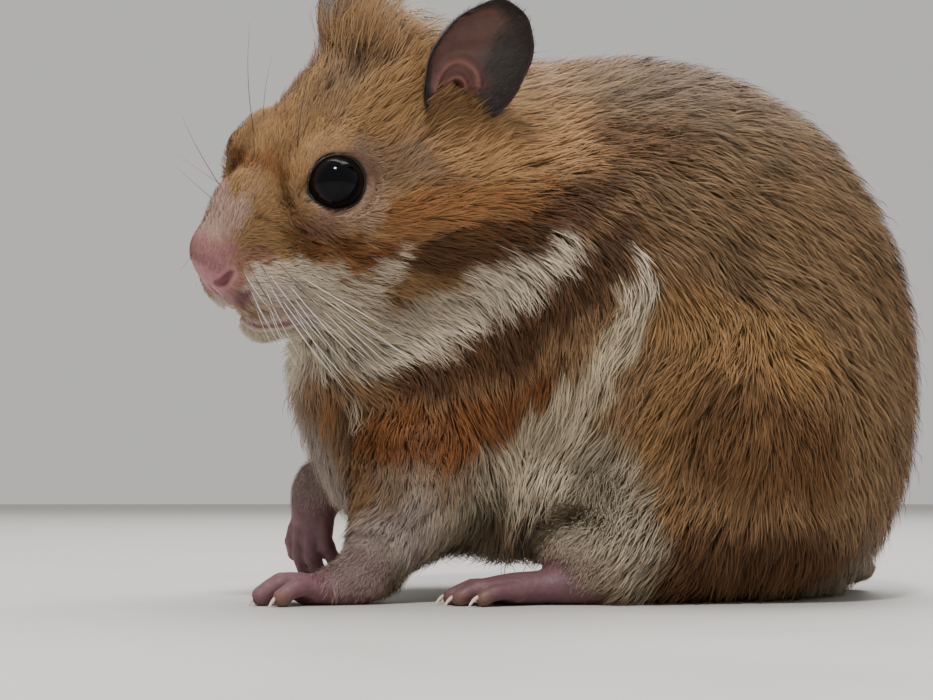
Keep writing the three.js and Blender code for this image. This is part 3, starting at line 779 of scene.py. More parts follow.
combing = [
    (head, [
        ((14, 2, -3), (-6, -2, 7)), ((10, 3, 1), (-8, 0, 6)), ((5, 2, 5), (-9, 0, 6)),
        ((0, 2, 8), (-9, 1, 4)), ((-6, 3, 10), (-8, 0, 6)), ((-9, 2, 13), (-6, 0, 8)),
        ((-13, 3, 15), (-7, 0, 6)), ((-11, 11, 4), (-9, 0, 2)), ((-20, 2, 12), (-10, 0, -4)),
        ((5, 7, -2), (-7, 6, -3)), ((5, 6, 1), (-6, -3, 7)), ((4, 11, -6), (-8, 5, -3)),
        ((10, 5, -6), (-8, 4, -3)), ((12, 6, -10), (-7, 4, -6)), ((9, 7, -15), (-7, 5, -6)),
        ((8, 0, -17), (-9, 0, -4)), ((-3, 8, 4), (-9, 2, 2)), ((-3, 11, 0), (-9, 3, -1)),
        ((-10, 9, 5), (-9, 1, 2)), ((0, 14, -5), (-9, 3, -3)), ((-7, 17, -8), (-8, 4, -4)),
        ((-5, 16, -14), (-8, 4, -5)), ((0, 13, -18), (-7, 4, -6)), ((3, 9, -20), (-5, 4, -7)),
        ((-10, 15, -3), (-9, 3, -2)), ((-15, 9, 0), (-9, 2, 3)),
    ]),
    (trunk, [
        ((-6, 27, 45), (9, 0, -4)), ((-4, 23, 57), (9, 2, 1)), ((-5, 0, 67), (9, 0, 2)),
        ((4, 18, 62), (9, 1, -1)), ((16, 18, 61), (9, 0, -3)), ((10, 0, 69), (9, 0, 0)),
        ((25, 0, 65), (9, 0, -3)), ((25, 18, 56), (8, 0, -6)), ((35, 0, 57), (7, 0, -6)),
        ((34, 18, 48), (5, 0, -8)), ((43, 0, 42), (3, 0, -9)), ((37, 19, 37), (2, 1, -9)),
        ((45, 0, 25), (0, 0, -9)), ((37, 24, 22), (1, -1, -9)), ((35, 24, 12), (-1, -4, -8)),
        ((42, 0, 8), (-2, 0, -9)), ((6, 25, 53), (9, 1, -4)), ((15, 26, 50), (7, 1, -6)),
        ((7, 28, 43), (6, 0, -7)), ((2, 28, 39), (3, 0, -9)), ((-2, 28, 33), (1, -1, -9)),
        ((-11, 25, 30), (2, 2, -8)), ((-18, 24, 24), (0, 5, -7)), ((-22, 22, 19), (-3, 5, -7)),
        ((-23, 24, 10), (-4, 3, -8)), ((-14, 24, 18), (1, 5, -7)), ((-8, 22, 14), (1, 0, -9)),
        ((-1, 23, 20), (-3, -2, -8)), ((3, 27, 27), (-3, -3, -8)), ((8, 28, 32), (-4, -1, -8)),
        ((-1, 20, 9), (-1, 2, -8)), ((5, 25, 14), (-4, 6, -6)), ((14, 30, 25), (-5, -1, -8)),
        ((12, 28, 14), (-5, -1, -8)), ((19, 29, 31), (-2, 1, -9)), ((20, 31, 20), (-1, -1, -9)),
        ((19, 28, 7), (-3, -6, -7)), ((25, 29, 30), (4, 0, -8)), ((30, 29, 21), (2, -2, -9)),
        ((27, 29, 12), (0, -4, -8)), ((21, 27, 40), (6, 2, -7)), ((14, 28, 38), (4, 2, -8)),
        ((-34, 0, 30), (1, 0, -9)), ((-31, 16, 24), (1, -3, -8)), ((-28, 8, 14), (-2, 0, -9)),
        ((-10, 0, 4), (5, 0, -1)), ((10, 0, 1), (5, 0, -1)), ((2, 26, 8), (-5, 4, -7)),
        ((6, 26, 3), (-7, 1, -4)), ((5, 24, 10.5), (-3, 8, -3)), ((0, 23, 9.5), (-4, 7, -3)),
        ((11, 25, 10.5), (-2, 8, -4)), ((5, 28.5, 6), (-4, 2, -8)),
    ]),
]
combSoftness = 3  # square millimetres


def lieOf(points):
    # the sum of all the strokes' ways, each over the square of its squared distance and the softness
    total = np.zeros((len(points), 3))
    strokes = [(axes, place, way) for axes, rows in combing for place, way in rows]
    for axes, place, way in strokes:
        for flip in ((1, 1, 1), (1, -1, 1)):
            gap = ((points - outOfAxes(axes, np.array(place, float) * flip)) ** 2).sum(1)
            total += (axes[0] @ unit(np.array(way, float) * flip)) / (gap + combSoftness)[:, None] ** 2
    return total


# ---- strands: thin blades of four steps, laid along the skin and drawn together into tufts

coat = dict(
    layers=5.0, most=48,  # strands covering any one place, and the most to a square millimetre
    underneath=1.5, underShare=0.2,  # below this height only this share of them grows
    lengthByDepth=1.5, shortest=0.6, lengthSpread=0.2, lengthByClump=0.15,
    widthByDepth=0.026, narrowest=0.04, widthSpread=0.2,
    turnSpread=0.1, turnByClump=0.16, turnByWave=0.18, waveSize=9,  # radians and millimetres
    rise=0.72, riseSpread=0.2, riseByClump=0.15, riseRange=(0.25, 1.05),  # the tips' height in the coat
    clump=1.5, gather=0.6, gatherDepth=1.5,  # millimetres between clumps, and how far tips draw together
    stray=0.03, strayLength=1.25, strayRise=1.35,
    rooted=0.12, lowest=0.08,  # how deep the roots are, and the least height over the floor
    furthest=0.45, flattest=0.3,  # the most that a step moves to reach its height, and the least slope taken
    roomRoundEyes=0.25, roomRoundOpenings=0.7,
    roll=0.35, shadeSpread=0.11, shadeByWave=0.1,
)
# where along each foot half the hair is left, and over how many millimetres it fades
hairEnds = dict(foreLeft=-1.0, foreRight=-3.0, hindLeft=-5.0, hindRight=-5.0)
fading = 4
wisps = dict(  # tufts that stand on the crown
    where=[(head, (-12, 1, 13), 10, 1)], fewest=0.45, length=0.5, rise=0.75, gather=0.3,
)
bareRound = dict(lids=0.25, eyes=0.2, nose=2.3, openings=0.3)
strandSteps = np.array([0.0, 0.33, 0.7, 1.0])
strandWidths = np.array([0.75, 1.0, 0.7])
strandFaces = np.array([(0, 3, 4), (0, 4, 1), (1, 4, 5), (1, 5, 2), (2, 5, 6)])
strandUv = np.array([(0, 0), (0, 0.35), (0, 0.7), (1, 0), (1, 0.35), (1, 0.7), (0.5, 1)])


def fromOpenings(points):
    # the least distance to the nostrils, the groove and the mouth
    local = folded(head, points)
    return np.min([pathDistance(local, np.array(path, float), radii) for path, radii in carved], 0)


def bareOf(points):
    # where no hair grows: on the lids' rims, the nose leather and inside the openings
    bare = np.zeros(len(points), bool)
    for side in (1, -1):
        local = intoAxes(eyeAxes(side), points)
        bare |= fromRim(side, local) < bareRound["lids"]
        bare |= np.linalg.norm(local, axis=1) < eye["radius"] + bareRound["eyes"]
    bare |= within(points, outOfAxes(head, np.array([15.2, 0, -7.3])), bareRound["nose"])
    return bare | (fromOpenings(points) < bareRound["openings"])


def growthAt(points):
    # what share of the hair grows: fading out along the feet, further forward on top, and thin on the lips
    share = np.where(bareOf(points), 0.0, 1.0)
    for name, (axes, *_) in feet.items():
        local = intoAxes(axes, points)
        left = smooth(0.5 - (local[:, 0] - 0.7 * (local[:, 2] - 2) - hairEnds[name]) / fading)
        share = np.where(within(points, axes[1], 15) & (local[:, 2] < 5.5), share * left, share)
    lip = smooth(1.6 - np.linalg.norm(folded(head, points) - [14.4, 2.2, -9.6], axis=1) / 1.8)
    return share * (1 - 0.75 * lip)


def clumpOf(points, size):
    # the nearest of the jittered centres in the 27 cells around, and a number of its own
    cell = np.floor(points / size).astype(np.int64)
    best = np.full(len(points), 1e9)
    centre = np.zeros((len(points), 3))
    name = np.zeros(len(points), np.int64)
    for step in np.ndindex(3, 3, 3):
        at = cell + np.array(step) - 1
        mixed = (at[:, 0] * 73856093 ^ at[:, 1] * 19349663 ^ at[:, 2] * 83492791) & 0xFFFFFF
        jitter = np.stack([(mixed * k % 9973) / 9973 for k in (31, 57, 83)], 1)
        middle = (at + jitter) * size
        gap = ((points - middle) ** 2).sum(1)
        closer = gap < best
        best = np.where(closer, gap, best)
        centre[closer] = middle[closer]
        name[closer] = mixed[closer]
    return centre, name


def scatter(points, faces, crowd):
    # roots over quads: every triangle has its share by area and crowd, each root at a random place in it
    triangles = np.concatenate([faces[:, [0, 1, 2]], faces[:, [0, 2, 3]]])
    a, b, c = (points[triangles[:, n]] for n in range(3))
    area = np.linalg.norm(np.cross(b - a, c - a), axis=1) / 2
    expected = area * crowd[triangles].mean(1)
    number = np.floor(expected + rng.uniform(size=len(expected))).astype(int)
    chosen = np.repeat(np.arange(len(triangles)), number)
    u, v = rng.uniform(size=(2, len(chosen)))
    over = u + v > 1
    u[over], v[over] = 1 - u[over], 1 - v[over]
    return a[chosen] + u[:, None] * (b - a)[chosen] + v[:, None] * (c - a)[chosen]


def lengthAt(depth):
    # the coat's depth times a factor, and never under the shortest
    return np.maximum(depth * coat["lengthByDepth"], coat["shortest"])


def widthAt(depth):
    # the narrowest, and wider in deep coat
    return coat["narrowest"] + coat["widthByDepth"] * depth


def hueSteps(hue, shade, ticked):
    # slate undercoat at the root, with the marking's colour darkened there as painted shade deep in the coat,
    # the marking's colour in the middle, and a lighter tip or a dark one
    hue = np.clip(hue * shade[:, None], 0, 0.95)
    tip = np.where(ticked[:, None], paints["ink"], hue * 1.08)
    upper = np.where(ticked[:, None], hue * 0.6, hue)
    return np.stack([hue * 0.6 + paints["slate"] * 0.2, hue * 0.9, upper, tip], 1)


bodyMiddle = np.array([2.0, 0.0, 30.0])
patchSize = 0.003


def patchCorners(where):
    # the unwrap is two angles, seen from behind the piece's middle; sorting the roots into even columns by
    # one angle, and each column by the other, gives every strand a cell of its own near its root's place
    inward = unit(where.mean(0) - bodyMiddle)
    aside = unit(np.cross(inward, [0.1, 0.2, 1.0]))
    offset = where - where.mean(0) + inward * 25
    u = np.arctan2(offset @ aside, offset @ inward)
    v = np.arctan2(offset @ np.cross(aside, inward), offset @ inward)
    columns = int(np.ceil(np.sqrt(len(where))))
    column = np.empty(len(where), int)
    column[np.argsort(u, kind="stable")] = np.arange(len(where)) * columns // len(where)
    inColumn = np.lexsort((v, column))
    start = np.searchsorted(column[inColumn], np.arange(columns))
    row = np.empty(len(where), int)
    row[inColumn] = np.arange(len(where)) - start[column[inColumn]]
    size = 1 / (columns + 1)
    return np.stack([column + 0.5, row + 0.5], 1) * size, min(patchSize, size * 0.7)


def furPiece(name, middle, normal, width, roll, hue):
    # each blade is as wide across its line as its steps say, and turned about the line by roll; its shading
    # normal is a quarter the blade's and three quarters the skin's
    tangent = unit(np.gradient(middle, axis=1))
    blade = unit(np.cross(tangent, normal[:, None]))
    blade = blade * np.cos(roll)[:, None, None] + normal[:, None] * np.sin(roll)[:, None, None]
    half = blade[:, :3] * (width[:, None] * strandWidths)[..., None] / 2
    points = np.concatenate([middle[:, :3] - half, middle[:, :3] + half, middle[:, 3:]], 1)
    colours = np.concatenate([hue[:, :3], hue[:, :3], hue[:, 3:]], 1)
    faces = (np.arange(len(middle))[:, None, None] * len(strandUv) + strandFaces).reshape(-1, 3)
    piece = meshOf(name, points.reshape(-1, 3), faces, colours.reshape(-1, 3), furFinish)
    outward = unit(np.cross(blade, tangent))
    outward *= np.sign((outward * normal[:, None]).sum(2, keepdims=True))
    outward = unit(outward * 0.25 + normal[:, None] * 0.75)
    outward = np.concatenate([outward[:, :3], outward[:, :3], outward[:, 3:]], 1).reshape(-1, 3)
    piece.data.normals_split_custom_set_from_vertices(outward.tolist())
    corner, size = patchCorners(middle[:, 0])
    uv = (corner[:, None] + strandUv[None] * size).reshape(-1, 2)
    layer = piece.data.uv_layers.new(name="OFBake")
    layer.data.foreach_set("uv", uv[faces.ravel()].astype(np.float32).ravel())
    print(name, len(faces), "triangles")
    return piece


def rootsOver(points, faces):
    # as many roots as lay the wanted number of strands over any place
    depth = depthAt(points)
    crowd = np.minimum(coat["layers"] / (lengthAt(depth) * widthAt(depth)), coat["most"])
    crowd *= np.where(points[:, 2] < coat["underneath"], coat["underShare"], 1) * growthAt(points)
    roots = scatter(points, faces, crowd)
    return roots[~bareOf(roots)]


def sizesOf(roots, depth, own, clumpOwn):
    # length, rise and width from the coat's depth, each changed by the strand's own draw and its clump's
    longer = pulled(roots, 1, longCoat)
    length = lengthAt(depth) * np.exp(coat["lengthSpread"] * own[:, 1])
    length = length * (1 + coat["lengthByClump"] * clumpOwn[:, 1]) * longer
    share = coat["rise"] + coat["riseSpread"] * own[:, 2] + coat["riseByClump"] * clumpOwn[:, 2]
    rise = depth * np.clip(share, *coat["riseRange"]) * longer
    wisp = pulled(roots, 0, wisps["where"]) * (clumpOwn[:, 2] > wisps["fewest"])
    length *= 1 + wisps["length"] * wisp
    rise *= 1 + wisps["rise"] * wisp
    stray = rng.uniform(size=len(roots)) < coat["stray"]
    length[stray] *= coat["strayLength"]
    rise[stray] *= coat["strayRise"]
    return length, rise, widthAt(depth) * np.exp(coat["widthSpread"] * own[:, 3]), wisp


def linesOf(roots, normal, depth, way, length, rise, pull, gather):
    # each step lies along the strand's way, drawn to its clump's middle by the step to the power 1.4; it is
    # lifted by the rise, and then moved twice along the skin's gradient to stand at that height
    pull = pull - (pull * way).sum(1, keepdims=True) * way
    pull -= (pull * normal).sum(1, keepdims=True) * normal
    pull *= np.minimum(1, depth / coat["gatherDepth"])[:, None]
    middle = roots[:, None] + way[:, None] * (length[:, None] * strandSteps)[..., None]
    middle += pull[:, None] * (gather[:, None] * strandSteps**1.4)[..., None]
    height = rise[:, None] * (1 - (1 - strandSteps[None]) ** 2)
    middle += normal[:, None] * height[..., None]
    for _ in range(2):
        value, slope = skinAt(middle.reshape(-1, 3))
        steep = np.maximum((slope * slope).sum(1, keepdims=True), coat["flattest"])
        shift = (height.ravel() - value)[:, None] * slope / steep
        middle += np.clip(shift, -coat["furthest"], coat["furthest"]).reshape(middle.shape)
    middle[:, 0] = roots - normal * coat["rooted"]
    middle[..., 2] = np.maximum(middle[..., 2], coat["lowest"])
    return middle


def clearOf(middle):
    # the strands that keep off the eyes, the nostrils and the lips
    free = fromOpenings(middle[:, 1:].reshape(-1, 3)).reshape(-1, 3)
    clear = (free > coat["roomRoundOpenings"]).all(1)
    for side in (1, -1):
        reach = np.linalg.norm(middle - eyeAxes(side)[1], axis=2)
        clear &= (reach > eye["radius"] + coat["roomRoundEyes"]).all(1)
    return clear


roots = rootsOver(skinPoints, skinFaces)
print(len(roots), "strands")

normal = unit(skinAt(roots)[1])
lie = lieOf(roots)
lie = unit(lie - (lie * normal).sum(1, keepdims=True) * normal)
across = np.cross(normal, lie)
depth = depthAt(roots)
clumpCentre, clumpName = clumpOf(roots, coat["clump"])
clumpOwn = np.random.default_rng(seed + 50).uniform(-1, 1, (4096, 3))[clumpName % 4096]
own = rng.normal(size=(len(roots), 6))
turn = coat["turnSpread"] * own[:, 0] + coat["turnByClump"] * clumpOwn[:, 0]
turn += coat["turnByWave"] * waves(roots, coat["waveSize"], 20)
way = unit(lie * np.cos(turn)[:, None] + across * np.sin(turn)[:, None])
length, rise, width, wisp = sizesOf(roots, depth, own, clumpOwn)
gather = coat["gather"] + wisps["gather"] * wisp
middle = linesOf(roots, normal, depth, way, length, rise, clumpCentre - roots, gather)
clear = clearOf(middle)
print("strands laid")

hue = markedColour(middle[:, 2])
# no strand ends dark where the coat is pale
ticked = rng.uniform(size=len(roots)) < darkTips(roots) * smooth(1.6 - hue.mean(1) * 4)
shade = np.exp(coat["shadeSpread"] * (own[:, 4] + clumpOwn[:, 0]) + coat["shadeByWave"] * waves(roots, 7, 31))
hue = hueSteps(hue, shade, ticked)

# each coat piece has the strands whose roots are nearest to its middle
coatPieces = dict(
    coatFace=(head, (8, 0, -3)), coatBrow=(head, (-3, 0, 8)),
    coatCheekLeft=(head, (-3, 13, -10)), coatCheekRight=(head, (-3, -13, -10)),
    coatCrown=(head, (-15, 0, 10)), coatChin=(head, (4, 0, -20)), coatNape=(trunk, (-2, 4, 64)),
    coatNeckLeft=(trunk, (-3, -25, 45)), coatNeckRight=(trunk, (-12, 20, 45)),
    coatBack=(trunk, (26, 0, 60)), coatRump=(trunk, (44, 0, 28)),
    coatFlankLeft=(trunk, (12, -26, 44)), coatFlankRight=(trunk, (8, 27, 42)),
    coatThighLeft=(trunk, (20, -29, 16)), coatThighRight=(trunk, (20, 29, 16)),
    coatChest=(trunk, (-32, 0, 24)), coatArmLeft=(trunk, (-16, -22, 18)), coatArmRight=(trunk, (-18, 20, 20)),
    coatBelly=(trunk, (0, 0, 5)),
)
pieceMiddles = np.stack([outOfAxes(axes, np.array(place, float)) for axes, place in coatPieces.values()])
nearestPiece = np.argmin(((roots[:, None] - pieceMiddles[None]) ** 2).sum(2), 1)
for number, name in enumerate(coatPieces):
    chosen = clear & (nearestPiece == number)
    roll = coat["roll"] * own[chosen, 5]
    furPiece(name, middle[chosen], normal[chosen], width[chosen], roll, hue[chosen])

# ---- eyes: a full ball, dark brown round a black pupil, with a bead of dark skin along the lids


def eyeBall(side):
    # latitude from the eye's axis and longitude round it; the front swells into a cornea
    rows, columns = 48, 72
    latitude = np.linspace(0.0, np.pi, rows + 1)[1:-1, None]
    longitude = np.linspace(0, 2 * np.pi, columns, endpoint=False)[None]
    radius = eye["radius"] + eye["cornea"] * smooth(1 - latitude / eye["corneaEdge"])
    ball = np.stack([radius * np.cos(latitude) + 0 * longitude, radius * np.sin(latitude) * np.cos(longitude),
                     radius * np.sin(latitude) * np.sin(longitude)], -1).reshape(-1, 3)
    ball = np.concatenate([ball, [[eye["radius"] + eye["cornea"], 0, 0], [-eye["radius"], 0, 0]]])
    faces = np.concatenate([ringFaces(rows - 1, columns), poleFaces(rows - 1, columns)])
    out = np.arccos(np.clip(ball[:, 0] / np.linalg.norm(ball, axis=1), -1, 1))
    ring = smooth((out - 0.75) / 0.15) * (1 + 0.3 * np.sin(40 * np.arctan2(ball[:, 2], ball[:, 1])))
    pupil, iris = paintOf(5, 5, 9), paintOf(20, 13, 12)
    colour = pupil + (iris - pupil) * ring[:, None]
    name = "eyeLeft" if side > 0 else "eyeRight"
    return meshOf(name, outOfAxes(eyeAxes(side), ball), faces, np.clip(colour, 0, 1), eyeFinish)


def ringFaces(rows, columns):
    # triangles between rows of a grid closed round its columns
    row, column = np.meshgrid(np.arange(rows - 1), np.arange(columns), indexing="ij")
    a, b = row * columns + column, row * columns + (column + 1) % columns
    c, d = b + columns, a + columns
    return np.concatenate([np.stack([a, d, c], -1).reshape(-1, 3), np.stack([a, c, b], -1).reshape(-1, 3)])


def poleFaces(rows, columns):
    # fans closing the first and last row onto the two points that follow the grid
    start = np.arange(columns)
    after = (start + 1) % columns
    last = (rows - 1) * columns
    first = np.stack([start, after, np.full(columns, rows * columns)], 1)
    second = np.stack([last + after, last + start, np.full(columns, rows * columns + 1)], 1)
    return np.concatenate([first, second])


def tubes(paths, radii, sides):
    # round tubes along many paths of the same number of steps, closed at both ends
    number, steps, _ = paths.shape
    tangent = unit(np.gradient(paths, axis=1))
    first = unit(np.cross(tangent, [0.37, 0.21, 0.9]))
    second = np.cross(tangent, first)
    angle = np.linspace(0, 2 * np.pi, sides, endpoint=False)
    cosine, sine = np.cos(angle)[:, None], np.sin(angle)[:, None]
    ring = first[:, :, None] * cosine + second[:, :, None] * sine
    body = (paths[:, :, None] + ring * radii[:, :, None, None]).reshape(number, -1, 3)
    points = np.concatenate([body, paths[:, :1], paths[:, -1:]], 1)
    faces = np.concatenate([ringFaces(steps, sides), poleFaces(steps, sides)])[:, ::-1]
    faces = np.arange(number)[:, None, None] * (steps * sides + 2) + faces
    return points.reshape(-1, 3), faces.reshape(-1, 3)


def tubeHue(start, end, steps, sides):
    # each tube's colour from root to tip, and the two end points
    share = np.concatenate([np.repeat(np.linspace(0, 1, steps), sides), [0, 1]])[None, :, None]
    return (start[:, None] + (end - start)[:, None] * share).reshape(-1, 3)


def lidRim(side):
    # a closed bead whose middle line is the opening's edge on the ball
    columns, sides = 120, 8
    turned = np.linspace(0, 2 * np.pi, columns, endpoint=False)
    local = np.stack([np.zeros(columns), -side * np.cos(turned), np.sin(turned)], 1)
    opening = openingAt(side, local)
    reach = eye["radius"] + lid["rimOut"]
    line = reach * (local * np.sin(opening)[:, None] + [1, 0, 0] * np.cos(opening)[:, None])
    tangent = unit(np.roll(line, -1, 0) - np.roll(line, 1, 0))
    out = unit(line)
    beside = np.cross(tangent, out)
    angle = np.linspace(0, 2 * np.pi, sides, endpoint=False)[None, :, None]
    size = lid["rim"] * (1 + 0.15 * np.sin(7 * turned) + 0.1 * np.sin(17 * turned))[:, None, None]
    ring = np.cos(angle) * out[:, None] + np.sin(angle) * beside[:, None]
    points = (line[:, None] + size * ring).reshape(-1, 3)
    row, column = np.meshgrid(np.arange(columns), np.arange(sides), indexing="ij")
    a, b = row * sides + column, row * sides + (column + 1) % sides
    c, d = (row + 1) % columns * sides + (column + 1) % sides, (row + 1) % columns * sides + column
    faces = np.stack([a, b, c, d], -1).reshape(-1, 4)
    colour = np.repeat(paintOf(22, 16, 15)[None], len(points), 0)
    name = "lidRimLeft" if side > 0 else "lidRimRight"
    return meshOf(name, outOfAxes(eyeAxes(side), points), faces, colour, rimFinish)


for side, node in ((1, "eye_left"), (-1, "eye_right")):
    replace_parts(eyeBall(side), node)
    lidRim(side)
print("eyes made")

# ---- ears: a cupped oval leaf, its front face running over the rim to its back

ear = dict(
    long=8.3, wide=6.3, cup=3.5, thick=(0.28, 0.75),
    ridges=((4.6, 0.4, 2.8, -75, 105), (4.2, 0.3, 1.35, -85, 110)),  # middle, radius, from and to in degrees
    canal=(3.1, 0.3),
    cupPaint=paintOf(96, 68, 62), outerPaint=paintOf(50, 45, 44), rimPaint=paintOf(40, 35, 35),
    # the canal's paint is its own dark red, deepened as painted shade in the pit
    innerPaint=paintOf(92, 48, 46), ridgePaint=paintOf(146, 98, 90), canalRedAndShade=paintOf(50, 18, 18),
    backPaint=paintOf(66, 62, 64),
    hairs=5200, hairLength=(0.6, 1.2), hairWidth=(0.035, 0.055), hairRise=0.28,
    hairPaints=(paintOf(96, 88, 82), paintOf(96, 90, 88)),  # front and back
)
earAxes = {
    1: facing(head, (-14.9, 10.5, 0.6), (-0.44, 0.33, 0.82), (0.36, 0.88, -0.3)),
    -1: facing(head, (-14.9, -10.5, 0.6), (-0.44, -0.33, 0.82), (0.55, -0.8, -0.25)),
}


def arcDistance(x, y, arc):
    # the least distance in the flat from each point to a part of a circle
    middleX, middleY, radius, start, end = arc
    turned = np.clip(np.arctan2(y - middleY, x - middleX), np.radians(start), np.radians(end))
    return np.hypot(x - middleX - radius * np.cos(turned), y - middleY - radius * np.sin(turned))


def earSurface(side):
    # out from the middle over the front, round the rim, and back to the middle over the back: the cup's depth
    # is one less the radius squared, to the power 0.75, and ridges and pit are bell curves over the distance
    front, back, columns = 34, 14, 96
    r = np.concatenate([np.linspace(0, 1, front + 1)[1:] ** 0.9, np.linspace(1, 0, back + 1)[:-1]])
    behind = np.concatenate([np.zeros(front), np.ones(back)])[:, None]
    turned = np.linspace(0, 2 * np.pi, columns, endpoint=False)[None]
    edge = 1 + 0.012 * np.sin(5 * turned + 1) + 0.01 * np.sin(9 * turned)
    x = ear["long"] + ear["long"] * r[:, None] * np.cos(turned) * edge
    y = side * ear["wide"] * r[:, None] * np.sin(turned) * edge
    hollow = np.maximum(1 - r**2, 0)[:, None]
    z = -ear["cup"] * hollow**0.75
    z = z + 0.12 * np.sin(x * 1.3 + y * 0.7) * hollow
    outer, inner = (arcDistance(x, side * y, arc) for arc in ear["ridges"])
    folds = 0.6 * np.exp(-((outer / 0.65) ** 2)) + 0.6 * np.exp(-((inner / 0.45) ** 2))
    folds = folds - 2.2 * np.exp(-((x - ear["canal"][0]) ** 2 + (side * y - ear["canal"][1]) ** 2) / 1.3)
    thick = ear["thick"][0] + (ear["thick"][1] - ear["thick"][0]) * hollow
    z = z + folds * (1 - behind) - thick * behind
    points = np.stack([x, y, z], -1).reshape(-1, 3)
    middle = np.array([[ear["long"], 0, -ear["cup"]], [ear["long"], 0, -ear["cup"] - ear["thick"][1]]])
    faces = np.concatenate([ringFaces(len(r), columns), poleFaces(len(r), columns)])
    if side > 0:
        faces = faces[:, ::-1]
    flat = dict(x=x, y=side * y, outer=outer, inner=inner)
    flat.update(r=np.broadcast_to(r[:, None], x.shape), behind=np.broadcast_to(behind, x.shape))
    return np.concatenate([points, middle]), faces, flat


def earColour(x, y, r, outer, inner, behind):
    # dark outer half and rim, brownish pink cup, pale ridges and a dark red canal deepened as painted shade
    # in its pit, laid one over another
    tone = np.repeat(ear["cupPaint"][None], r.size, 0)
    canalX, canalY = ear["canal"]
    steps = [
        (smooth((-y - 0.8) / 3), "outerPaint"),
        (smooth((r - 0.7) / 0.2), "rimPaint"),
        (smooth((7.5 - x) / 3) * smooth((0.8 - r) * 4), "innerPaint"),
        (0.65 * np.exp(-((outer / 0.5) ** 2)), "ridgePaint"),
        (0.65 * np.exp(-((inner / 0.4) ** 2)), "ridgePaint"),
        (np.exp(-((x - canalX) ** 2 + (y - canalY) ** 2) / 1.6), "canalRedAndShade"),
        (behind, "backPaint"),
    ]
    for share, paint in steps:
        tone = tone + (ear[paint] - tone) * share.reshape(-1, 1)
    return np.concatenate([tone, ear["cupPaint"][None], ear["backPaint"][None]])


def earHairs(name, side, points, flat):
    # fine hairs over the back, the rim and the outer half of the front, lying out towards the rim
    number, (rows, columns) = ear["hairs"], flat["x"].shape
    row, column = rng.integers(0, rows - 1, number), rng.integers(0, columns, number)
    grid = points[:-2].reshape(rows, columns, 3)
    root = grid[row, column]
    following = grid[row, (column + 1) % columns] - root
    onward = grid[row + 1, column] - root
    up = unit(np.cross(onward, following)) * side
    share = rng.uniform(size=(2, number, 1))
    root = root + following * share[0] + onward * share[1]
    isBack = flat["behind"][row, 0] > 0
    rim = flat["r"][row, column]
    outerHalf = 0.7 * smooth((-flat["y"][row, column] - 0.5) / 2.5)
    wanted = np.where(isBack, 0.9, np.clip((rim - 0.6) * 2.5, 0, 0.9) + outerHalf)
    wanted = wanted * np.where(isBack, 1, rim > 0.4) * rim * (root[:, 0] > 1.5)
    kept = rng.uniform(size=number) < wanted
    root, up, isBack = root[kept], up[kept], isBack[kept]
    out = unit(root * [1, 1, 0] - [1.5, 0, 0] + rng.normal(size=root.shape) * 0.6)
    out = unit(out - (out * up).sum(1, keepdims=True) * up)
    length = rng.uniform(*ear["hairLength"], len(root))
    middle = root[:, None] + out[:, None] * (length[:, None] * strandSteps)[..., None]
    middle += up[:, None] * (length[:, None] * ear["hairRise"] * strandSteps**1.2 + 0.02)[..., None]
    front, back = ear["hairPaints"]
    tone = np.where(isBack[:, None], back, front) * rng.uniform(0.3, 1.1, (len(root), 1))
    hue = np.stack([tone * 0.6, tone * 0.85, tone, tone * 1.15], 1)
    world = outOfAxes(earAxes[side], middle.reshape(-1, 3)).reshape(middle.shape)
    width = rng.uniform(*ear["hairWidth"], len(root))
    furPiece(name, world, up @ earAxes[side][0].T, width, 0.4 * rng.normal(size=len(root)), hue)


def makeEar(side):
    # the leaf with its colours, and its hairs as a piece of their own
    points, faces, flat = earSurface(side)
    world = outOfAxes(earAxes[side], points)
    colour = np.clip(mottled(earColour(**flat), world, 1.2, 0.08, 70), 0, 1)
    name, node = ("earLeft", "ear_left") if side > 0 else ("earRight", "ear_right")
    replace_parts(meshOf(name, world, faces, colour, earFinish), node)
    earHairs("coat" + name[0].upper() + name[1:], side, points, flat)


for side in (1, -1):
    makeEar(side)
print("ears made")

# ---- claws: curved horn at each digit's tip

claw = dict(
    long=1.7, thick=0.3, tip=0.03, hump=0.35, drop=0.55,  # how far it bows up, and how far its tip drops
    lowest=0.1, steps=8, sides=8, rootPaint=paintOf(196, 150, 140), tipPaint=paintOf(238, 222, 206),
)


def clawLine(axes, root, tip, radius, bow):
    # on from the digit's last step, humped by a sine and dropping by the square of the step
    path = bowed(root, tip, bow)
    forward = unit(path[-1] - path[-2])
    t = np.linspace(0, 1, claw["steps"])[:, None]
    line = path[-1] + forward * radius * 0.45 + [0, 0, radius * 0.35] + forward * claw["long"] * t
    line = line + np.array([0, 0, claw["hump"]]) * np.sin(np.pi * t * 0.8)
    world = outOfAxes(axes, line - np.array([0, 0, claw["drop"]]) * t**2)
    world[:, 2] = np.maximum(world[:, 2], claw["lowest"])
    return world


clawPaths = np.stack([clawLine(axes, *digit) for axes, _, digits in feet.values() for digit in digits])
clawRadii = claw["thick"] * np.linspace(1, 0.0, claw["steps"]) ** 0.6 + claw["tip"]
points, faces = tubes(clawPaths, np.broadcast_to(clawRadii, clawPaths.shape[:2]), claw["sides"])
ends = [np.tile(claw[paint], (len(clawPaths), 1)) for paint in ("rootPaint", "tipPaint")]
meshOf("claws", points, faces, tubeHue(*ends, claw["steps"], claw["sides"]), clawFinish)
print("claws made")

# ---- whiskers: long bowed hairs from the pads, and a few above them and above the eyes

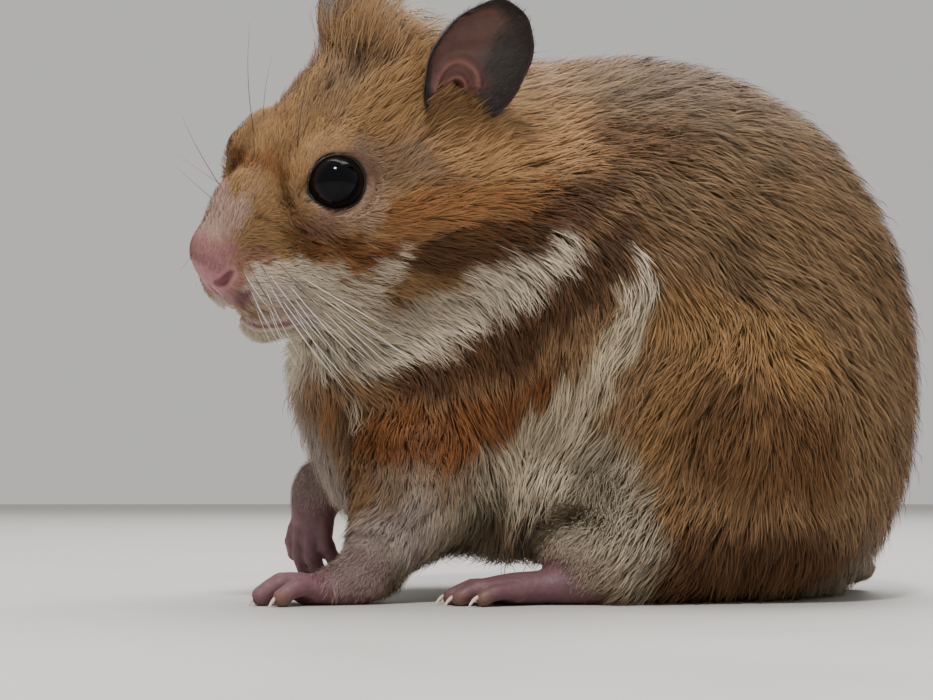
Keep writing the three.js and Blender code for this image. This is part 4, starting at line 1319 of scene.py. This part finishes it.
whisker = dict(
    rows=5, columns=6, long=(6, 17), thick=0.055, steps=12, sides=4,
    rooted=0.3, lowest=0.3, sag=0.25,
    dark=(paintOf(60, 48, 42), paintOf(96, 82, 74)), pale=(paintOf(226, 218, 210), paintOf(248, 245, 240)),
    # single dark ones over the eye and the muzzle: root, aim, and length on the left and the right side
    single=[
        ((3.5, 4.6, 5.2), (-0.2, 0.2, 1.0), (15, 15)), ((1.5, 5.4, 6.0), (-0.5, 0.4, 0.9), (9, 9)),
        ((9.5, 3.4, 0), (0.1, 0.5, 0.85), (3.6, 12)), ((8.5, 4, -0.5), (0.3, 0.7, 0.5), (2.7, 9)),
        ((10.5, 3.6, -1.5), (0.4, 0.6, 0.8), (2.4, 8)),
    ],
)


def rootsOn(direction, places):
    # each place is moved in along the direction until it meets the skin, by halving
    low, high = np.zeros(len(places)), np.full(len(places), 14.0)
    for _ in range(16):
        half = (low + high) / 2
        outside = skinField(places - direction * half[:, None]) > 0
        low, high = np.where(outside, half, low), np.where(outside, high, half)
    return places - direction * high[:, None]


def whiskersOf(side):
    # rows and columns over the pad, longer towards the back, sagging by the square of the step
    row, column = np.meshgrid(np.arange(whisker["rows"]), np.arange(whisker["columns"]), indexing="ij")
    row, column = row.ravel() / (whisker["rows"] - 1), column.ravel() / (whisker["columns"] - 1)
    jitter = rng.normal(size=(3, len(row))) * 0.25
    forward, up = 12.4 - 6.2 * column + jitter[0], -5.6 - 5.6 * row - 1.4 * column + jitter[1]
    places = np.stack([forward, np.full(len(row), 14.0), up], 1)
    flip = np.array([1, side, 1])
    inwards = np.repeat((head[0] @ np.array([0, side, 0]))[None], len(row), 0)
    roots = rootsOn(inwards, outOfAxes(head, places * flip))
    shortest, longest = whisker["long"]
    length = (shortest + (longest - shortest) * column**0.8) * rng.uniform(0.75, 1.1, len(row))
    aim = np.stack([0.25 - 0.6 * column, np.full(len(row), 0.65), -0.45 - 0.6 * row], 1)
    aim += rng.normal(size=(len(row), 3)) * 0.1

    places, aims, lengths = (np.array(part, float) for part in zip(*whisker["single"]))
    downwards = np.repeat((head[0] @ np.array([0.2, 0, 1]))[None], len(places), 0)
    roots = np.concatenate([roots, rootsOn(downwards, outOfAxes(head, places * flip + [0, 0, 6]))])
    length = np.concatenate([length, lengths[:, 0 if side > 0 else 1]])
    aim = unit(np.concatenate([aim, aims]) * flip) @ head[0].T

    fall = head[0] @ np.array([-0.55, 0, -0.55])
    t = np.linspace(0, 1, whisker["steps"])[None, :, None]
    long = length[:, None, None]
    paths = roots[:, None] + aim[:, None] * (t * long) + fall * (t**2 * long * whisker["sag"])
    paths[:, 0] -= aim * whisker["rooted"]
    paths[..., 2] = np.maximum(paths[..., 2], whisker["lowest"])
    taper = 1 - np.linspace(0, 1, whisker["steps"]) ** 1.3 * 0.85
    radii = whisker["thick"] * taper[None] * np.clip(length / 14, 0.6, 1.1)[:, None]
    points, faces = tubes(paths, radii, whisker["sides"])
    darkShare = np.concatenate([np.clip(0.8 - 1.6 * row, 0, 1), np.ones(len(places))])
    dark = (rng.uniform(size=len(roots)) < darkShare)[:, None]
    start, end = (np.where(dark, *pair) for pair in zip(whisker["dark"], whisker["pale"]))
    name = "whiskersLeft" if side > 0 else "whiskersRight"
    tones = tubeHue(start, end, whisker["steps"], whisker["sides"])
    meshOf(name, points, faces, tones, whiskerFinish)


for side in (1, -1):
    whiskersOf(side)
print("whiskers made")

# ---- floor, lights and camera

floorMesh = bpy.data.meshes.new("floor")
floorMesh.from_pydata([(-3, -3, 0), (3, -3, 0), (3, 3, 0), (-3, 3, 0)], [], [(0, 1, 2, 3)])
floor = bpy.data.objects.new("floor", floorMesh)
bpy.context.scene.collection.objects.link(floor)
floorMesh.materials.append(finish("floorFinish", (0.45, 0.6), 0.01, 40, Base_Color=(0.52, 0.5, 0.47, 1)))


def softLight(name, place, size, watts, colour=(1, 1, 1)):
    # a square lamp turned to the animal's middle
    lamp = bpy.data.objects.new(name, bpy.data.lights.new(name, "AREA"))
    lamp.data.energy, lamp.data.size, lamp.data.color = watts, size, colour
    lamp.location = place
    lamp.rotation_euler = (Vector((0, 0, 0.035)) - Vector(place)).to_track_quat("-Z", "Y").to_euler()
    bpy.context.scene.collection.objects.link(lamp)


softLight("key", (-0.05, -0.42, 0.62), 0.09, 4.5)
softLight("overhead", (0.1, 0.3, 0.9), 0.8, 13)

world = bpy.data.worlds.new("room")
world.use_nodes = True
world.node_tree.nodes["Background"].inputs["Color"].default_value = (0.72, 0.71, 0.69, 1)
world.node_tree.nodes["Background"].inputs["Strength"].default_value = 0.8
bpy.context.scene.world = world

view = dict(place=(-13.01, -227.35, 12.1), tilt=94.7, lens=69.2)  # tilt in degrees from straight down
camera = bpy.data.objects.new("camera", bpy.data.cameras.new("camera"))
bpy.context.scene.collection.objects.link(camera)
camera.location = np.array(view["place"]) * millimetre
camera.rotation_euler = (math.radians(view["tilt"]), 0, 0)
camera.data.lens = view["lens"]
camera.data.clip_start = 0.01
bpy.context.scene.camera = camera
